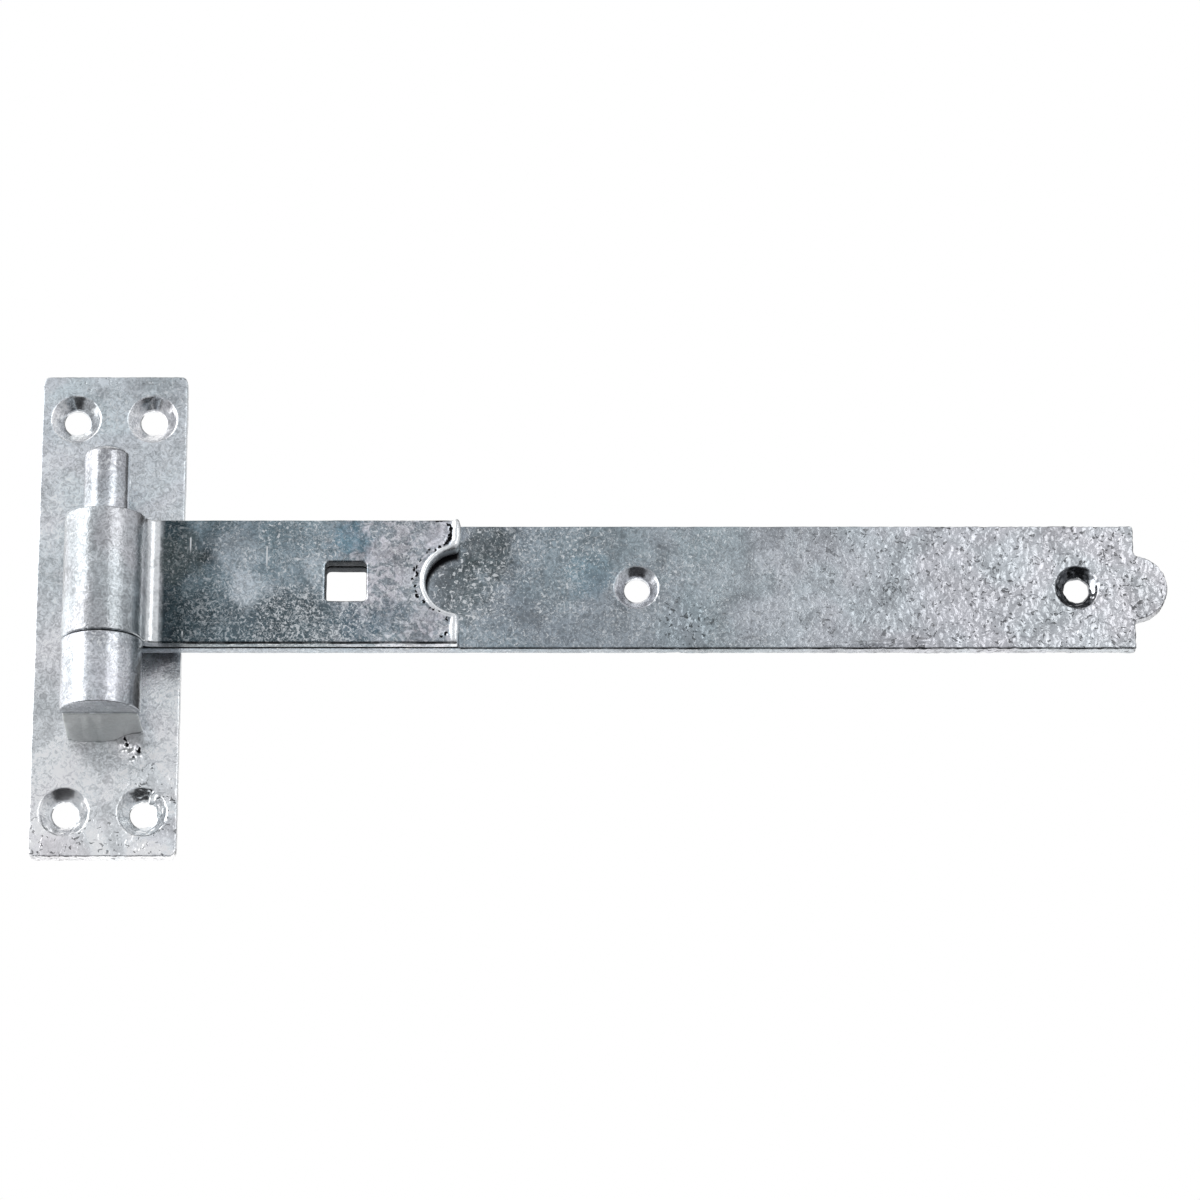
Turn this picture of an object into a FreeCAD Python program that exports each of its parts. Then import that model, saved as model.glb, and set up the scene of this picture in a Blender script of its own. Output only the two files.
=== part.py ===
import FreeCAD, Part
import math
import os

import Sketcher

# Hook and band hinge for a timber gate, hot-dip galvanised steel, sizes in millimetres.
# The hook is a screw plate with a foot and collar that hold an upright pin.
# The band is one flat bar: its end is rolled round into an eye and doubled back on itself as a short leaf.
# Frame: the origin is the centre of the plate's back face, where it sits on the gate post.
# +X runs along the closed band, -Y points out of the post and +Z runs up along the pin.

SIZES = [
    ("strap_width", 35.0, "band: width of the flat bar"),
    ("strap_thickness", 4.5, "band: thickness of the flat bar"),
    ("band_reach", 289.0, "band: pin axis to the tip"),
    ("leaf_reach", 96.0, "band: pin axis to the end of the doubled leaf"),
    ("layer_gap", 0.8, "band: seam between the leaf and the strap"),
    ("bend_radius", 3.0, "band: hollow radius where the eye turns into the leaf"),
    ("punch_radius", 9.0, "band: radius of the tip's lobe and of the notch in the leaf"),
    ("punch_corner", 1.2, "band: small radius where the lobe or the notch meets the square end"),
    ("square_hole", 11.2, "band: side of the square hole for a coach bolt"),
    ("square_corner", 1.0, "band: corner radius of the square hole"),
    ("square_setback", 30.5, "band: leaf end back to the centre of the square hole"),
    ("first_screw", 48.5, "band: leaf end on to the first screw hole"),
    ("last_screw", 24.6, "band: tip back to the last screw hole"),
    ("band_hole", 6.8, "band: screw hole"),
    ("band_sink", 12.2, "band: mouth of the countersink"),
    ("sink_angle", 90.0, "countersinks: full angle of the cone"),
    ("edge_round", 0.5, "plate and band: radius of the bar's edges"),
    ("plate_length", 138.0, "plate: height on the post"),
    ("plate_width", 40.0, "plate: width on the post"),
    ("plate_thickness", 4.5, "plate: thickness"),
    ("plate_corner", 1.8, "plate: corner radius"),
    ("plate_hole", 7.0, "plate: screw hole"),
    ("plate_sink", 13.8, "plate: mouth of the countersink"),
    ("hole_from_end", 12.5, "plate: end to the centre of a screw hole"),
    ("hole_from_side", 9.4, "plate: side to the centre of a screw hole"),
    ("pin_diameter", 12.4, "pin: diameter"),
    ("pin_above_collar", 56.0, "pin: length above the collar, dome included"),
    ("pin_dome", 2.8, "pin: height of the domed tip"),
    ("pin_offset", 16.5, "pin: axis in front of the plate's face"),
    ("pin_chamfer", 0.6, "pin: chamfer of the lower end"),
    ("collar_diameter", 22.0, "collar: diameter"),
    ("collar_length", 20.0, "collar: length along the pin"),
    ("collar_height", 35.5, "collar: lower face above the plate's lower end"),
    ("collar_chamfer", 0.5, "collar: chamfer of both ends"),
    ("foot_width", 15.5, "foot: width between the collar and the plate"),
    ("foot_inset", 0.5, "foot: step back from the collar's upper face"),
    ("weld_leg", 3.4, "weld: how far its toe stands below the collar on the plate"),
    ("weld_width", 20.8, "weld: width across the plate"),
    ("weld_crown", 0.5, "weld: bulge of its face"),
    ("weld_end", 1.2, "weld: rounding of its two ends"),
    ("eye_play", 0.4, "fit: gap between the pin and the bore of the eye, all round"),
    ("running_gap", 0.2, "fit: gap between the collar's upper face and the eye"),
]

doc = FreeCAD.newDocument("hook_and_band_hinge")

dims = doc.addObject("Spreadsheet::Sheet", "dims")
for row, (alias, size, meaning) in enumerate(SIZES, start=1):
    dims.set(f"A{row}", meaning)
    dims.set(f"B{row}", str(size))
    dims.setAlias(f"B{row}", alias)
doc.recompute()

# Sizes that follow from the driving ones, each written once as an expression.
PIN_RADIUS = "(dims.pin_diameter / 2)"
EYE_INSIDE = f"({PIN_RADIUS} + dims.eye_play)"
EYE_OUTSIDE = f"({EYE_INSIDE} + dims.strap_thickness)"
LEAF_BACK = f"({EYE_INSIDE} - dims.layer_gap)"
LEAF_FRONT = f"({LEAF_BACK} - dims.strap_thickness)"
SEAM_MIDDLE = f"({EYE_INSIDE} - dims.layer_gap / 2)"
HALF_STRAP = "(dims.strap_width / 2)"
SHOULDER_X = "(dims.band_reach - dims.punch_radius)"
SQUARE_X = "(dims.leaf_reach - dims.square_setback)"
FIRST_SCREW_X = "(dims.leaf_reach + dims.first_screw)"
LAST_SCREW_X = "(dims.band_reach - dims.last_screw)"
HOLE_X = "(dims.plate_width / 2 - dims.hole_from_side)"
HOLE_Z = "(dims.plate_length / 2 - dims.hole_from_end)"
PIN_Y = "(-dims.plate_thickness - dims.pin_offset)"
COLLAR_BOTTOM = "(dims.collar_height - dims.plate_length / 2)"
COLLAR_TOP = f"({COLLAR_BOTTOM} + dims.collar_length)"
PIN_LENGTH = "(dims.collar_length + dims.pin_above_collar)"
BAND_MIDDLE = f"({COLLAR_TOP} + dims.running_gap + {HALF_STRAP})"
TURN_RADIUS = "(dims.bend_radius + dims.strap_thickness)"
WELD_SLOPE_SQUARED = "(dims.weld_leg ^ 2 + dims.pin_offset ^ 2)"
WELD_FACE_RADIUS = f"(({WELD_SLOPE_SQUARED} / 4 + dims.weld_crown ^ 2) / (2 * dims.weld_crown))"

# Geometry and vertex numbers of a sketch's own axes and origin.
X_AXIS, Y_AXIS = range(-1, -3, -1)
START, END, CENTRE = range(1, 4)
ORIGIN = (X_AXIS, START)
QUARTER_TURN, HALF_TURN, FULL_TURN = 90, 180, 360
SKETCH_NORMAL = FreeCAD.Vector(0, 0, 1)
SAME = 1e-4


def value(expression):
    """The number that an expression of the sheet gives now."""
    return float(dims.evalExpression(expression))


def point(x, y):
    """A point in a sketch."""
    return FreeCAD.Vector(x, y, 0)


def new_body(name, x="0", y="0", z="0"):
    """One physical piece, placed in the hinge's frame."""
    body = doc.addObject("PartDesign::Body", name)
    body.Label = name
    body.setExpression("Placement.Base.x", x)
    body.setExpression("Placement.Base.y", y)
    body.setExpression("Placement.Base.z", z)
    return body


def new_sketch(body, name, plane, lift=None):
    """A sketch on one of the body's own origin planes, lifted along the plane's normal where asked."""
    sketch = body.newObject("Sketcher::SketchObject", name)
    support = [feature for feature in body.Origin.OriginFeatures if feature.Role == plane]
    sketch.AttachmentSupport = [(support[0], "")]
    sketch.MapMode = "FlatFace"
    if lift:
        sketch.setExpression("AttachmentOffset.Base.z", lift)
    return sketch


def line(sketch, first, second):
    return sketch.addGeometry(Part.LineSegment(first, second), False)


def arc(sketch, centre, radius, first, last):
    """An arc that runs counter-clockwise from the first angle to the last, both in degrees."""
    circle = Part.Circle(centre, SKETCH_NORMAL, radius)
    return sketch.addGeometry(Part.ArcOfCircle(circle, math.radians(first), math.radians(last)), False)


def rule(sketch, *terms):
    """A constraint with no size."""
    return sketch.addConstraint(Sketcher.Constraint(*terms))


def measure(sketch, name, expression, kind, *terms):
    """A dimension of the sketch, bound to the sheet."""
    index = rule(sketch, kind, *terms, value(expression))
    sketch.renameConstraint(index, name)
    sketch.setExpression(f"Constraints.{name}", expression)


def rectangle(sketch, width, height, x="0"):
    """A rectangle centred on the point x of the sketch's horizontal axis."""
    middle = value(x)
    across = value(width) / 2
    up = value(height) / 2
    corners = [
        point(middle - across, -up),
        point(middle + across, -up),
        point(middle + across, up),
        point(middle - across, up),
    ]
    bottom, right, top, left = [
        line(sketch, corners[turn], corners[(turn + 1) % 4]) for turn in range(4)
    ]
    for first, second in ((bottom, right), (right, top), (top, left), (left, bottom)):
        rule(sketch, "Coincident", first, END, second, START)
    for level in (bottom, top):
        rule(sketch, "Horizontal", level)
    for upright in (right, left):
        rule(sketch, "Vertical", upright)
    measure(sketch, "width", width, "DistanceX", bottom, START, bottom, END)
    measure(sketch, "height", height, "DistanceY", right, START, right, END)
    centre = ORIGIN
    if middle:
        marker = sketch.addGeometry(Part.Point(point(middle, 0)), True)
        rule(sketch, "PointOnObject", marker, START, X_AXIS)
        measure(sketch, "middle", x, "DistanceX", *ORIGIN, marker, START)
        centre = (marker, START)
    rule(sketch, "Symmetric", bottom, START, top, START, *centre)


def circle_at(sketch, name, diameter, x):
    """A circle centred on the point x of the sketch's horizontal axis."""
    edge = sketch.addGeometry(Part.Circle(point(value(x), 0), SKETCH_NORMAL, value(diameter) / 2), False)
    measure(sketch, name, diameter, "Diameter", edge)
    if value(x):
        rule(sketch, "PointOnObject", edge, CENTRE, X_AXIS)
        measure(sketch, f"{name}_place", x, "DistanceX", *ORIGIN, edge, CENTRE)
    else:
        rule(sketch, "Coincident", edge, CENTRE, *ORIGIN)
    return edge


def pad(body, name, sketch, length, symmetric=False, reverse=False):
    """Metal added on one side of the sketch, or half on each side."""
    feature = body.newObject("PartDesign::Pad", name)
    feature.Profile = sketch
    feature.setExpression("Length", length)
    feature.Reversed = reverse
    if symmetric:
        feature.SideType = "Symmetric"
    doc.recompute()
    body.Tip = feature
    return feature


def check_cut(feature, before):
    """A cut that misses the metal is a fault."""
    if not feature.Shape.Volume < before:
        raise RuntimeError(f"{feature.Name} takes nothing away")


def pocket(body, name, sketch, length=None):
    """A cut from the sketch into the body, to the given depth or right through."""
    before = body.Shape.Volume
    feature = body.newObject("PartDesign::Pocket", name)
    feature.Profile = sketch
    if length:
        feature.setExpression("Length", length)
    else:
        feature.Type = "ThroughAll"
    doc.recompute()
    body.Tip = feature
    check_cut(feature, before)
    return feature


def screw_holes(body, name, sketch, diameter, mouth):
    """Countersunk clearance holes, right through from the sketch's plane."""
    doc.recompute()
    before = body.Shape.Volume
    feature = body.newObject("PartDesign::Hole", name)
    feature.Profile = sketch
    doc.recompute()
    feature.ThreadType = "None"
    feature.DepthType = "ThroughAll"
    feature.HoleCutType = "Countersink"
    feature.setExpression("Diameter", diameter)
    feature.setExpression("HoleCutDiameter", mouth)
    feature.setExpression("HoleCutCountersinkAngle", "dims.sink_angle")
    doc.recompute()
    body.Tip = feature
    check_cut(feature, before)
    return feature


def fillet(body, name, base, edges, radius):
    feature = body.newObject("PartDesign::Fillet", name)
    feature.Base = (base, edges)
    feature.setExpression("Radius", radius)
    doc.recompute()
    body.Tip = feature
    return feature


def chamfer(body, name, base, edges, amount):
    feature = body.newObject("PartDesign::Chamfer", name)
    feature.Base = (base, edges)
    feature.setExpression("Size", amount)
    doc.recompute()
    body.Tip = feature
    return feature


def flat_faces(shape, direction):
    """Names of the flat faces that face the given way."""
    names = []
    for number, face in enumerate(shape.Faces, start=1):
        if isinstance(face.Surface, Part.Plane) and face.normalAt(0, 0).isEqual(direction, SAME):
            names.append(f"Face{number}")
    return names


def edges_along_y(shape, x, half_z):
    """Names of the straight edges along Y that stand at x, on both sides of the middle."""
    names = []
    for number, edge in enumerate(shape.Edges, start=1):
        if not isinstance(edge.Curve, Part.Line):
            continue
        first, last = edge.firstVertex().Point, edge.lastVertex().Point
        along = abs(first.x - last.x) < SAME and abs(first.z - last.z) < SAME
        if along and abs(first.x - x) < SAME and abs(abs(first.z) - half_z) < SAME:
            names.append(f"Edge{number}")
    return names


# Hook plate: a flat bar with round corners and four countersunk holes.
plate = new_body("hook_plate")
plate_outline = new_sketch(plate, "plate_outline", "XZ_Plane")
rectangle(plate_outline, "dims.plate_width", "dims.plate_length")
plate_bar = pad(plate, "plate_bar", plate_outline, "dims.plate_thickness")
plate_edges = edges_along_y(plate_bar.Shape, value("dims.plate_width / 2"), value("dims.plate_length / 2"))
plate_edges += edges_along_y(plate_bar.Shape, value("-dims.plate_width / 2"), value("dims.plate_length / 2"))
plate_corners = fillet(plate, "plate_corners", plate_bar, plate_edges, "dims.plate_corner")
plate_front = flat_faces(plate_corners.Shape, FreeCAD.Vector(0, -1, 0))
plate_rim = fillet(plate, "plate_rim", plate_corners, plate_front, "dims.edge_round")

hole_centres = new_sketch(plate, "hole_centres", "XZ_Plane", "dims.plate_thickness")
hole_x = value(HOLE_X)
hole_z = value(HOLE_Z)
hole_edges = [
    hole_centres.addGeometry(Part.Circle(point(x, z), SKETCH_NORMAL, value("dims.plate_hole / 2")), False)
    for x, z in ((hole_x, hole_z), (-hole_x, hole_z), (-hole_x, -hole_z), (hole_x, -hole_z))
]
for other in hole_edges[1:]:
    rule(hole_centres, "Equal", hole_edges[0], other)
measure(hole_centres, "hole", "dims.plate_hole", "Diameter", hole_edges[0])
measure(hole_centres, "to_side", HOLE_X, "DistanceX", *ORIGIN, hole_edges[0], CENTRE)
measure(hole_centres, "to_end", HOLE_Z, "DistanceY", *ORIGIN, hole_edges[0], CENTRE)
rule(hole_centres, "Symmetric", hole_edges[0], CENTRE, hole_edges[1], CENTRE, Y_AXIS)
rule(hole_centres, "Symmetric", hole_edges[1], CENTRE, hole_edges[2], CENTRE, X_AXIS)
rule(hole_centres, "Symmetric", hole_edges[2], CENTRE, hole_edges[3], CENTRE, Y_AXIS)
screw_holes(plate, "plate_screw_holes", hole_centres, "dims.plate_hole", "dims.plate_sink")

# Collar: a round boss on a narrower foot, bored for the pin.
collar = new_body("collar", "0", PIN_Y, COLLAR_BOTTOM)
collar_ring = new_sketch(collar, "collar_ring", "XY_Plane")
circle_at(collar_ring, "ring", "dims.collar_diameter", "0")
collar_boss = pad(collar, "collar_boss", collar_ring, "dims.collar_length")
collar_ends = flat_faces(collar_boss.Shape, FreeCAD.Vector(0, 0, 1))
collar_ends += flat_faces(collar_boss.Shape, FreeCAD.Vector(0, 0, -1))
collar_rims = chamfer(collar, "collar_rims", collar_boss, collar_ends, "dims.collar_chamfer")

foot_outline = new_sketch(collar, "foot_outline", "XY_Plane")
half_foot = value("dims.foot_width / 2")
foot_depth = value("dims.pin_offset")
foot_points = [
    point(-half_foot, 0),
    point(half_foot, 0),
    point(half_foot, foot_depth),
    point(-half_foot, foot_depth),
]
foot_lines = [line(foot_outline, foot_points[turn], foot_points[(turn + 1) % 4]) for turn in range(4)]
for turn in range(4):
    rule(foot_outline, "Coincident", foot_lines[turn], END, foot_lines[(turn + 1) % 4], START)
for level in (foot_lines[0], foot_lines[2]):
    rule(foot_outline, "Horizontal", level)
for upright in (foot_lines[1], foot_lines[3]):
    rule(foot_outline, "Vertical", upright)
rule(foot_outline, "Symmetric", foot_lines[0], START, foot_lines[0], END, *ORIGIN)
measure(foot_outline, "foot_width", "dims.foot_width", "DistanceX", foot_lines[0], START, foot_lines[0], END)
measure(foot_outline, "foot_depth", "dims.pin_offset", "DistanceY", foot_lines[1], START, foot_lines[1], END)
pad(collar, "collar_foot", foot_outline, "dims.collar_length - dims.foot_inset")

collar_hole = new_sketch(collar, "collar_hole", "XY_Plane")
circle_at(collar_hole, "hole", "dims.pin_diameter", "0")
bore = collar.newObject("PartDesign::Pocket", "collar_bore")
bore.Profile = collar_hole
bore.Type = "ThroughAll"
bore.Reversed = True
solid_volume = collar.Shape.Volume
doc.recompute()
collar.Tip = bore
check_cut(bore, solid_volume)

# Pin: a round bar turned about its own axis, chamfered below and domed above.
pin = new_body("pin", "0", PIN_Y, COLLAR_BOTTOM)
pin_profile = new_sketch(pin, "pin_profile", "XZ_Plane")
pin_radius = value(PIN_RADIUS)
pin_length = value(PIN_LENGTH)
dome = value("dims.pin_dome")
bevel = value("dims.pin_chamfer")
dome_radius = (pin_radius ** 2 + dome ** 2) / (2 * dome)
dome_centre = point(0, pin_length - dome_radius)
dome_start = math.degrees(math.asin((dome_radius - dome) / dome_radius))
base_line = line(pin_profile, point(0, 0), point(pin_radius - bevel, 0))
bevel_line = line(pin_profile, point(pin_radius - bevel, 0), point(pin_radius, bevel))
side_line = line(pin_profile, point(pin_radius, bevel), point(pin_radius, pin_length - dome))
dome_arc = arc(pin_profile, dome_centre, dome_radius, dome_start, QUARTER_TURN)
axis_line = line(pin_profile, point(0, pin_length), point(0, 0))
rule(pin_profile, "Coincident", base_line, START, *ORIGIN)
rule(pin_profile, "Coincident", base_line, END, bevel_line, START)
rule(pin_profile, "Coincident", bevel_line, END, side_line, START)
rule(pin_profile, "Coincident", side_line, END, dome_arc, START)
rule(pin_profile, "Coincident", dome_arc, END, axis_line, START)
rule(pin_profile, "Coincident", axis_line, END, *ORIGIN)
rule(pin_profile, "PointOnObject", dome_arc, CENTRE, Y_AXIS)
rule(pin_profile, "PointOnObject", dome_arc, END, Y_AXIS)
rule(pin_profile, "Horizontal", base_line)
rule(pin_profile, "Vertical", side_line)
measure(pin_profile, "pin_radius", PIN_RADIUS, "DistanceX", *ORIGIN, side_line, END)
measure(pin_profile, "bevel_in", "dims.pin_chamfer", "DistanceX", bevel_line, START, bevel_line, END)
measure(pin_profile, "bevel_up", "dims.pin_chamfer", "DistanceY", bevel_line, START, bevel_line, END)
measure(pin_profile, "pin_length", PIN_LENGTH, "DistanceY", *ORIGIN, dome_arc, END)
measure(pin_profile, "dome_height", "dims.pin_dome", "DistanceY", side_line, END, dome_arc, END)
pin_bar = pin.newObject("PartDesign::Revolution", "pin_bar")
pin_bar.Profile = pin_profile
pin_bar.ReferenceAxis = (pin_profile, ["V_Axis"])
doc.recompute()
pin.Tip = pin_bar

# Weld: a ramp of metal from the plate up the collar's lower end to the height of the pin.
weld = new_body("weld_bead", "0", "-dims.plate_thickness", COLLAR_BOTTOM)
weld_profile = new_sketch(weld, "weld_profile", "YZ_Plane")
leg = value("dims.weld_leg")
rise = value("dims.pin_offset")
crown = value("dims.weld_crown")
face_radius = value(WELD_FACE_RADIUS)
slope = math.hypot(leg, rise)
root = point(0, 0)
toe = point(0, -leg)
head = point(-rise, 0)
inward = point(leg / slope, rise / slope)
face_centre = (toe + head) / 2 + inward * (face_radius - crown)
head_angle = math.degrees(math.atan2(head.y - face_centre.y, head.x - face_centre.x))
toe_angle = math.degrees(math.atan2(toe.y - face_centre.y, toe.x - face_centre.x))
weld_face = arc(weld_profile, face_centre, face_radius, head_angle, toe_angle)
toe_line = line(weld_profile, toe, root)
head_line = line(weld_profile, root, head)
rule(weld_profile, "Coincident", toe_line, END, *ORIGIN)
rule(weld_profile, "Coincident", head_line, START, *ORIGIN)
rule(weld_profile, "Coincident", weld_face, END, toe_line, START)
rule(weld_profile, "Coincident", weld_face, START, head_line, END)
rule(weld_profile, "Vertical", toe_line)
rule(weld_profile, "Horizontal", head_line)
measure(weld_profile, "weld_leg", "dims.weld_leg", "DistanceY", toe_line, START, *ORIGIN)
measure(weld_profile, "weld_rise", "dims.pin_offset", "DistanceX", head_line, END, *ORIGIN)
measure(weld_profile, "face_radius", WELD_FACE_RADIUS, "Radius", weld_face)
weld_ramp = pad(weld, "weld_ramp", weld_profile, "dims.weld_width", symmetric=True)
ramp_ends = [
    f"Edge{number}"
    for number, edge in enumerate(weld_ramp.Shape.Edges, start=1)
    if isinstance(edge.Curve, Part.Circle)
]
fillet(weld, "weld_ends", weld_ramp, ramp_ends, "dims.weld_end")

# Band: the bar's outline seen from above, padded to its width.
# From the tip the strap runs back to the eye, goes once round the pin and returns as the leaf.
band = new_body("band", "0", PIN_Y, BAND_MIDDLE)
band_outline = new_sketch(band, "band_outline", "XY_Plane")
inside = value(EYE_INSIDE)
outside = value(EYE_OUTSIDE)
hollow = value("dims.bend_radius")
turn_radius = value(TURN_RADIUS)
leaf_back = value(LEAF_BACK)
leaf_front = value(LEAF_FRONT)
leaf_end = value("dims.leaf_reach")
shoulder = value(SHOULDER_X)
turn_y = leaf_front - hollow
turn_x = math.sqrt((outside + hollow) ** 2 - turn_y ** 2)
turn_centre = point(turn_x, turn_y)
meeting = math.degrees(math.atan2(turn_y, turn_x))
strap_back = line(band_outline, point(shoulder, outside), point(0, outside))
eye_outer = arc(band_outline, point(0, 0), outside, QUARTER_TURN, FULL_TURN + meeting)
turn_inner = arc(band_outline, turn_centre, hollow, QUARTER_TURN, HALF_TURN + meeting)
leaf_face = line(band_outline, point(turn_x, leaf_front), point(leaf_end, leaf_front))
leaf_edge = line(band_outline, point(leaf_end, leaf_front), point(leaf_end, leaf_back))
leaf_under = line(band_outline, point(leaf_end, leaf_back), point(turn_x, leaf_back))
turn_outer = arc(band_outline, turn_centre, turn_radius, QUARTER_TURN, HALF_TURN + meeting)
eye_inner = arc(band_outline, point(0, 0), inside, QUARTER_TURN, FULL_TURN + meeting)
strap_face = line(band_outline, point(0, inside), point(shoulder, inside))
strap_edge = line(band_outline, point(shoulder, inside), point(shoulder, outside))
rule(band_outline, "Tangent", strap_back, END, eye_outer, START)
rule(band_outline, "Tangent", eye_outer, END, turn_inner, END)
rule(band_outline, "Tangent", turn_inner, START, leaf_face, START)
rule(band_outline, "Coincident", leaf_face, END, leaf_edge, START)
rule(band_outline, "Coincident", leaf_edge, END, leaf_under, START)
rule(band_outline, "Tangent", leaf_under, END, turn_outer, START)
rule(band_outline, "Tangent", turn_outer, END, eye_inner, END)
rule(band_outline, "Tangent", eye_inner, START, strap_face, START)
rule(band_outline, "Coincident", strap_face, END, strap_edge, START)
rule(band_outline, "Coincident", strap_edge, END, strap_back, START)
rule(band_outline, "Coincident", eye_outer, CENTRE, *ORIGIN)
rule(band_outline, "Coincident", eye_inner, CENTRE, *ORIGIN)
rule(band_outline, "Coincident", turn_outer, CENTRE, turn_inner, CENTRE)
for level in (strap_back, leaf_face, leaf_under, strap_face):
    rule(band_outline, "Horizontal", level)
for upright in (leaf_edge, strap_edge):
    rule(band_outline, "Vertical", upright)
measure(band_outline, "eye_inside", EYE_INSIDE, "Radius", eye_inner)
measure(band_outline, "thickness", "dims.strap_thickness", "DistanceY", strap_edge, START, strap_edge, END)
measure(band_outline, "hollow", "dims.bend_radius", "Radius", turn_inner)
measure(band_outline, "seam", "dims.layer_gap", "DistanceY", leaf_under, START, strap_face, START)
measure(band_outline, "leaf_reach", "dims.leaf_reach", "DistanceX", *ORIGIN, leaf_edge, START)
measure(band_outline, "shoulder", SHOULDER_X, "DistanceX", *ORIGIN, strap_edge, START)
band_bar = pad(band, "band_bar", band_outline, "dims.strap_width", symmetric=True)
narrow_sides = flat_faces(band_bar.Shape, FreeCAD.Vector(0, 0, 1))
narrow_sides += flat_faces(band_bar.Shape, FreeCAD.Vector(0, 0, -1))
fillet(band, "band_edges", band_bar, narrow_sides, "dims.edge_round")

# The tip's half-round lobe and the notch in the leaf, cut by one punch.
lobe_circle = new_sketch(band, "lobe_circle", "XZ_Plane", f"-{EYE_INSIDE}")
circle_at(lobe_circle, "lobe", "2 * dims.punch_radius", SHOULDER_X)
band_lobe = pad(band, "band_lobe", lobe_circle, "dims.strap_thickness", reverse=True)
notch_circle = new_sketch(band, "notch_circle", "XZ_Plane")
circle_at(notch_circle, "notch", "2 * dims.punch_radius", "dims.leaf_reach")
band_notch = pocket(band, "band_notch", notch_circle, SEAM_MIDDLE)
punch_radius = value("dims.punch_radius")
punched = edges_along_y(band_notch.Shape, shoulder, punch_radius)
punched += edges_along_y(band_notch.Shape, leaf_end, punch_radius)
punched_corners = fillet(band, "punched_corners", band_notch, punched, "dims.punch_corner")

# The square hole goes through both layers.
square_outline = new_sketch(band, "square_outline", "XZ_Plane")
rectangle(square_outline, "dims.square_hole", "dims.square_hole", SQUARE_X)
square_hole = pocket(band, "square_hole", square_outline)
half_square = value("dims.square_hole / 2")
square_edges = edges_along_y(square_hole.Shape, value(SQUARE_X) - half_square, half_square)
square_edges += edges_along_y(square_hole.Shape, value(SQUARE_X) + half_square, half_square)
fillet(band, "square_corners", square_hole, square_edges, "dims.square_corner")

# Two screw holes in the single strap, countersunk from the front.
band_centres = new_sketch(band, "band_centres", "XZ_Plane", f"-{EYE_INSIDE}")
circle_at(band_centres, "first_hole", "dims.band_hole", FIRST_SCREW_X)
circle_at(band_centres, "last_hole", "dims.band_hole", LAST_SCREW_X)
screw_holes(band, "band_screw_holes", band_centres, "dims.band_hole", "dims.band_sink")

doc.recompute()

# Every feature has to be sound before any file is written.
for item in doc.Objects:
    if {"Invalid", "Error"} & set(item.State):
        raise RuntimeError(f"{item.Name} failed: {item.State}")
    if item.TypeId == "Sketcher::SketchObject" and not item.FullyConstrained:
        raise RuntimeError(f"{item.Name} isn't fully constrained")

PIECES = [plate, collar, pin, weld, band]
os.makedirs("parts", exist_ok=True)
for piece in PIECES:
    shape = piece.Shape
    if shape.isNull() or not shape.isValid() or len(shape.Solids) != 1:
        raise RuntimeError(f"{piece.Label} isn't one sound solid")
    shape.exportStep(f"parts/{piece.Label}.step")
    box = shape.BoundBox
    print(
        f"{piece.Label}: {shape.Volume / 1000:.2f} cm3,"
        f" x {box.XMin:.1f}..{box.XMax:.1f}, y {box.YMin:.1f}..{box.YMax:.1f}, z {box.ZMin:.1f}..{box.ZMax:.1f}"
    )
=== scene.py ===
# %% [markdown]
# # A hot-dip galvanised hook and band gate hinge
# The hinge is heavy flat bar that a smith bends, punches and welds, and that is then dipped in molten zinc.
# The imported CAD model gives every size. This lesson models each piece again by hand, in the same order as
# the workshop does, and then gives it the soft, uneven skin that zinc leaves on steel.

# %% Load the frame
import math

import bpy
import numpy as np
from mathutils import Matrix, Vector


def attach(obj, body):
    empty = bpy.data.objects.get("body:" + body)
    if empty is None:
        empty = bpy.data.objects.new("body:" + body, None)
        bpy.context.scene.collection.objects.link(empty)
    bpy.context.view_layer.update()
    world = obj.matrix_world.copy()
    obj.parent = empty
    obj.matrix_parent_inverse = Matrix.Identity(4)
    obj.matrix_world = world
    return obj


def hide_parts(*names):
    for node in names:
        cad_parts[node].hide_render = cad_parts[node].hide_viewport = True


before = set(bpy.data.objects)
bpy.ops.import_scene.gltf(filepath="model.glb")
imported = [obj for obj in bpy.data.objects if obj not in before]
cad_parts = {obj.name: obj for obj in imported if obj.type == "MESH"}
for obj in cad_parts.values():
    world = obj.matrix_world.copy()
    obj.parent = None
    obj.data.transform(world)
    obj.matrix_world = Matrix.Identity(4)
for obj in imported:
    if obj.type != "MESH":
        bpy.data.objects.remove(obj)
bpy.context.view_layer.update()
print("frame nodes:", ", ".join(sorted(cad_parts)))

# %% [markdown]
# ## Sizes
# All sizes are in metres and come from the drawing of the hinge. The pin's axis is upright, the band runs
# along +X, and the post stands behind the plate, on the +Y side. A size that only one step needs is given
# in that step.

# %% Sizes that several pieces share
MM = 0.001
BAND_Z = 4.2 * MM
PIN_Y, PIN_RADIUS = -21 * MM, 6.2 * MM
COLLAR_LOW, COLLAR_HIGH, COLLAR_RADIUS = -33.5 * MM, -13.5 * MM, 11 * MM
STRAP_WIDTH, STRAP_THICK = 35 * MM, 4.5 * MM
BORE_RADIUS = 6.6 * MM
LEAF_END, SHOULDER = 96 * MM, 280 * MM
PUNCH = 9 * MM
PLATE_FRONT = -4.5 * MM
print(f"band {SHOULDER + PUNCH + BORE_RADIUS + STRAP_THICK:.3f} m overall, of {STRAP_THICK:.4f} m bar")

# %% [markdown]
# ## Helpers
# Blender's operators act on whatever is selected. These small helpers make that safe: one starts with a
# single chosen object, one picks faces or edges by their place, and one applies a modifier at once.


# %% Helpers for modelling
def nothing_selected():
    """Leave edit mode and deselect everything."""
    if bpy.context.object and bpy.context.object.mode != "OBJECT":
        bpy.ops.object.mode_set(mode="OBJECT")
    bpy.ops.object.select_all(action="DESELECT")


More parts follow.
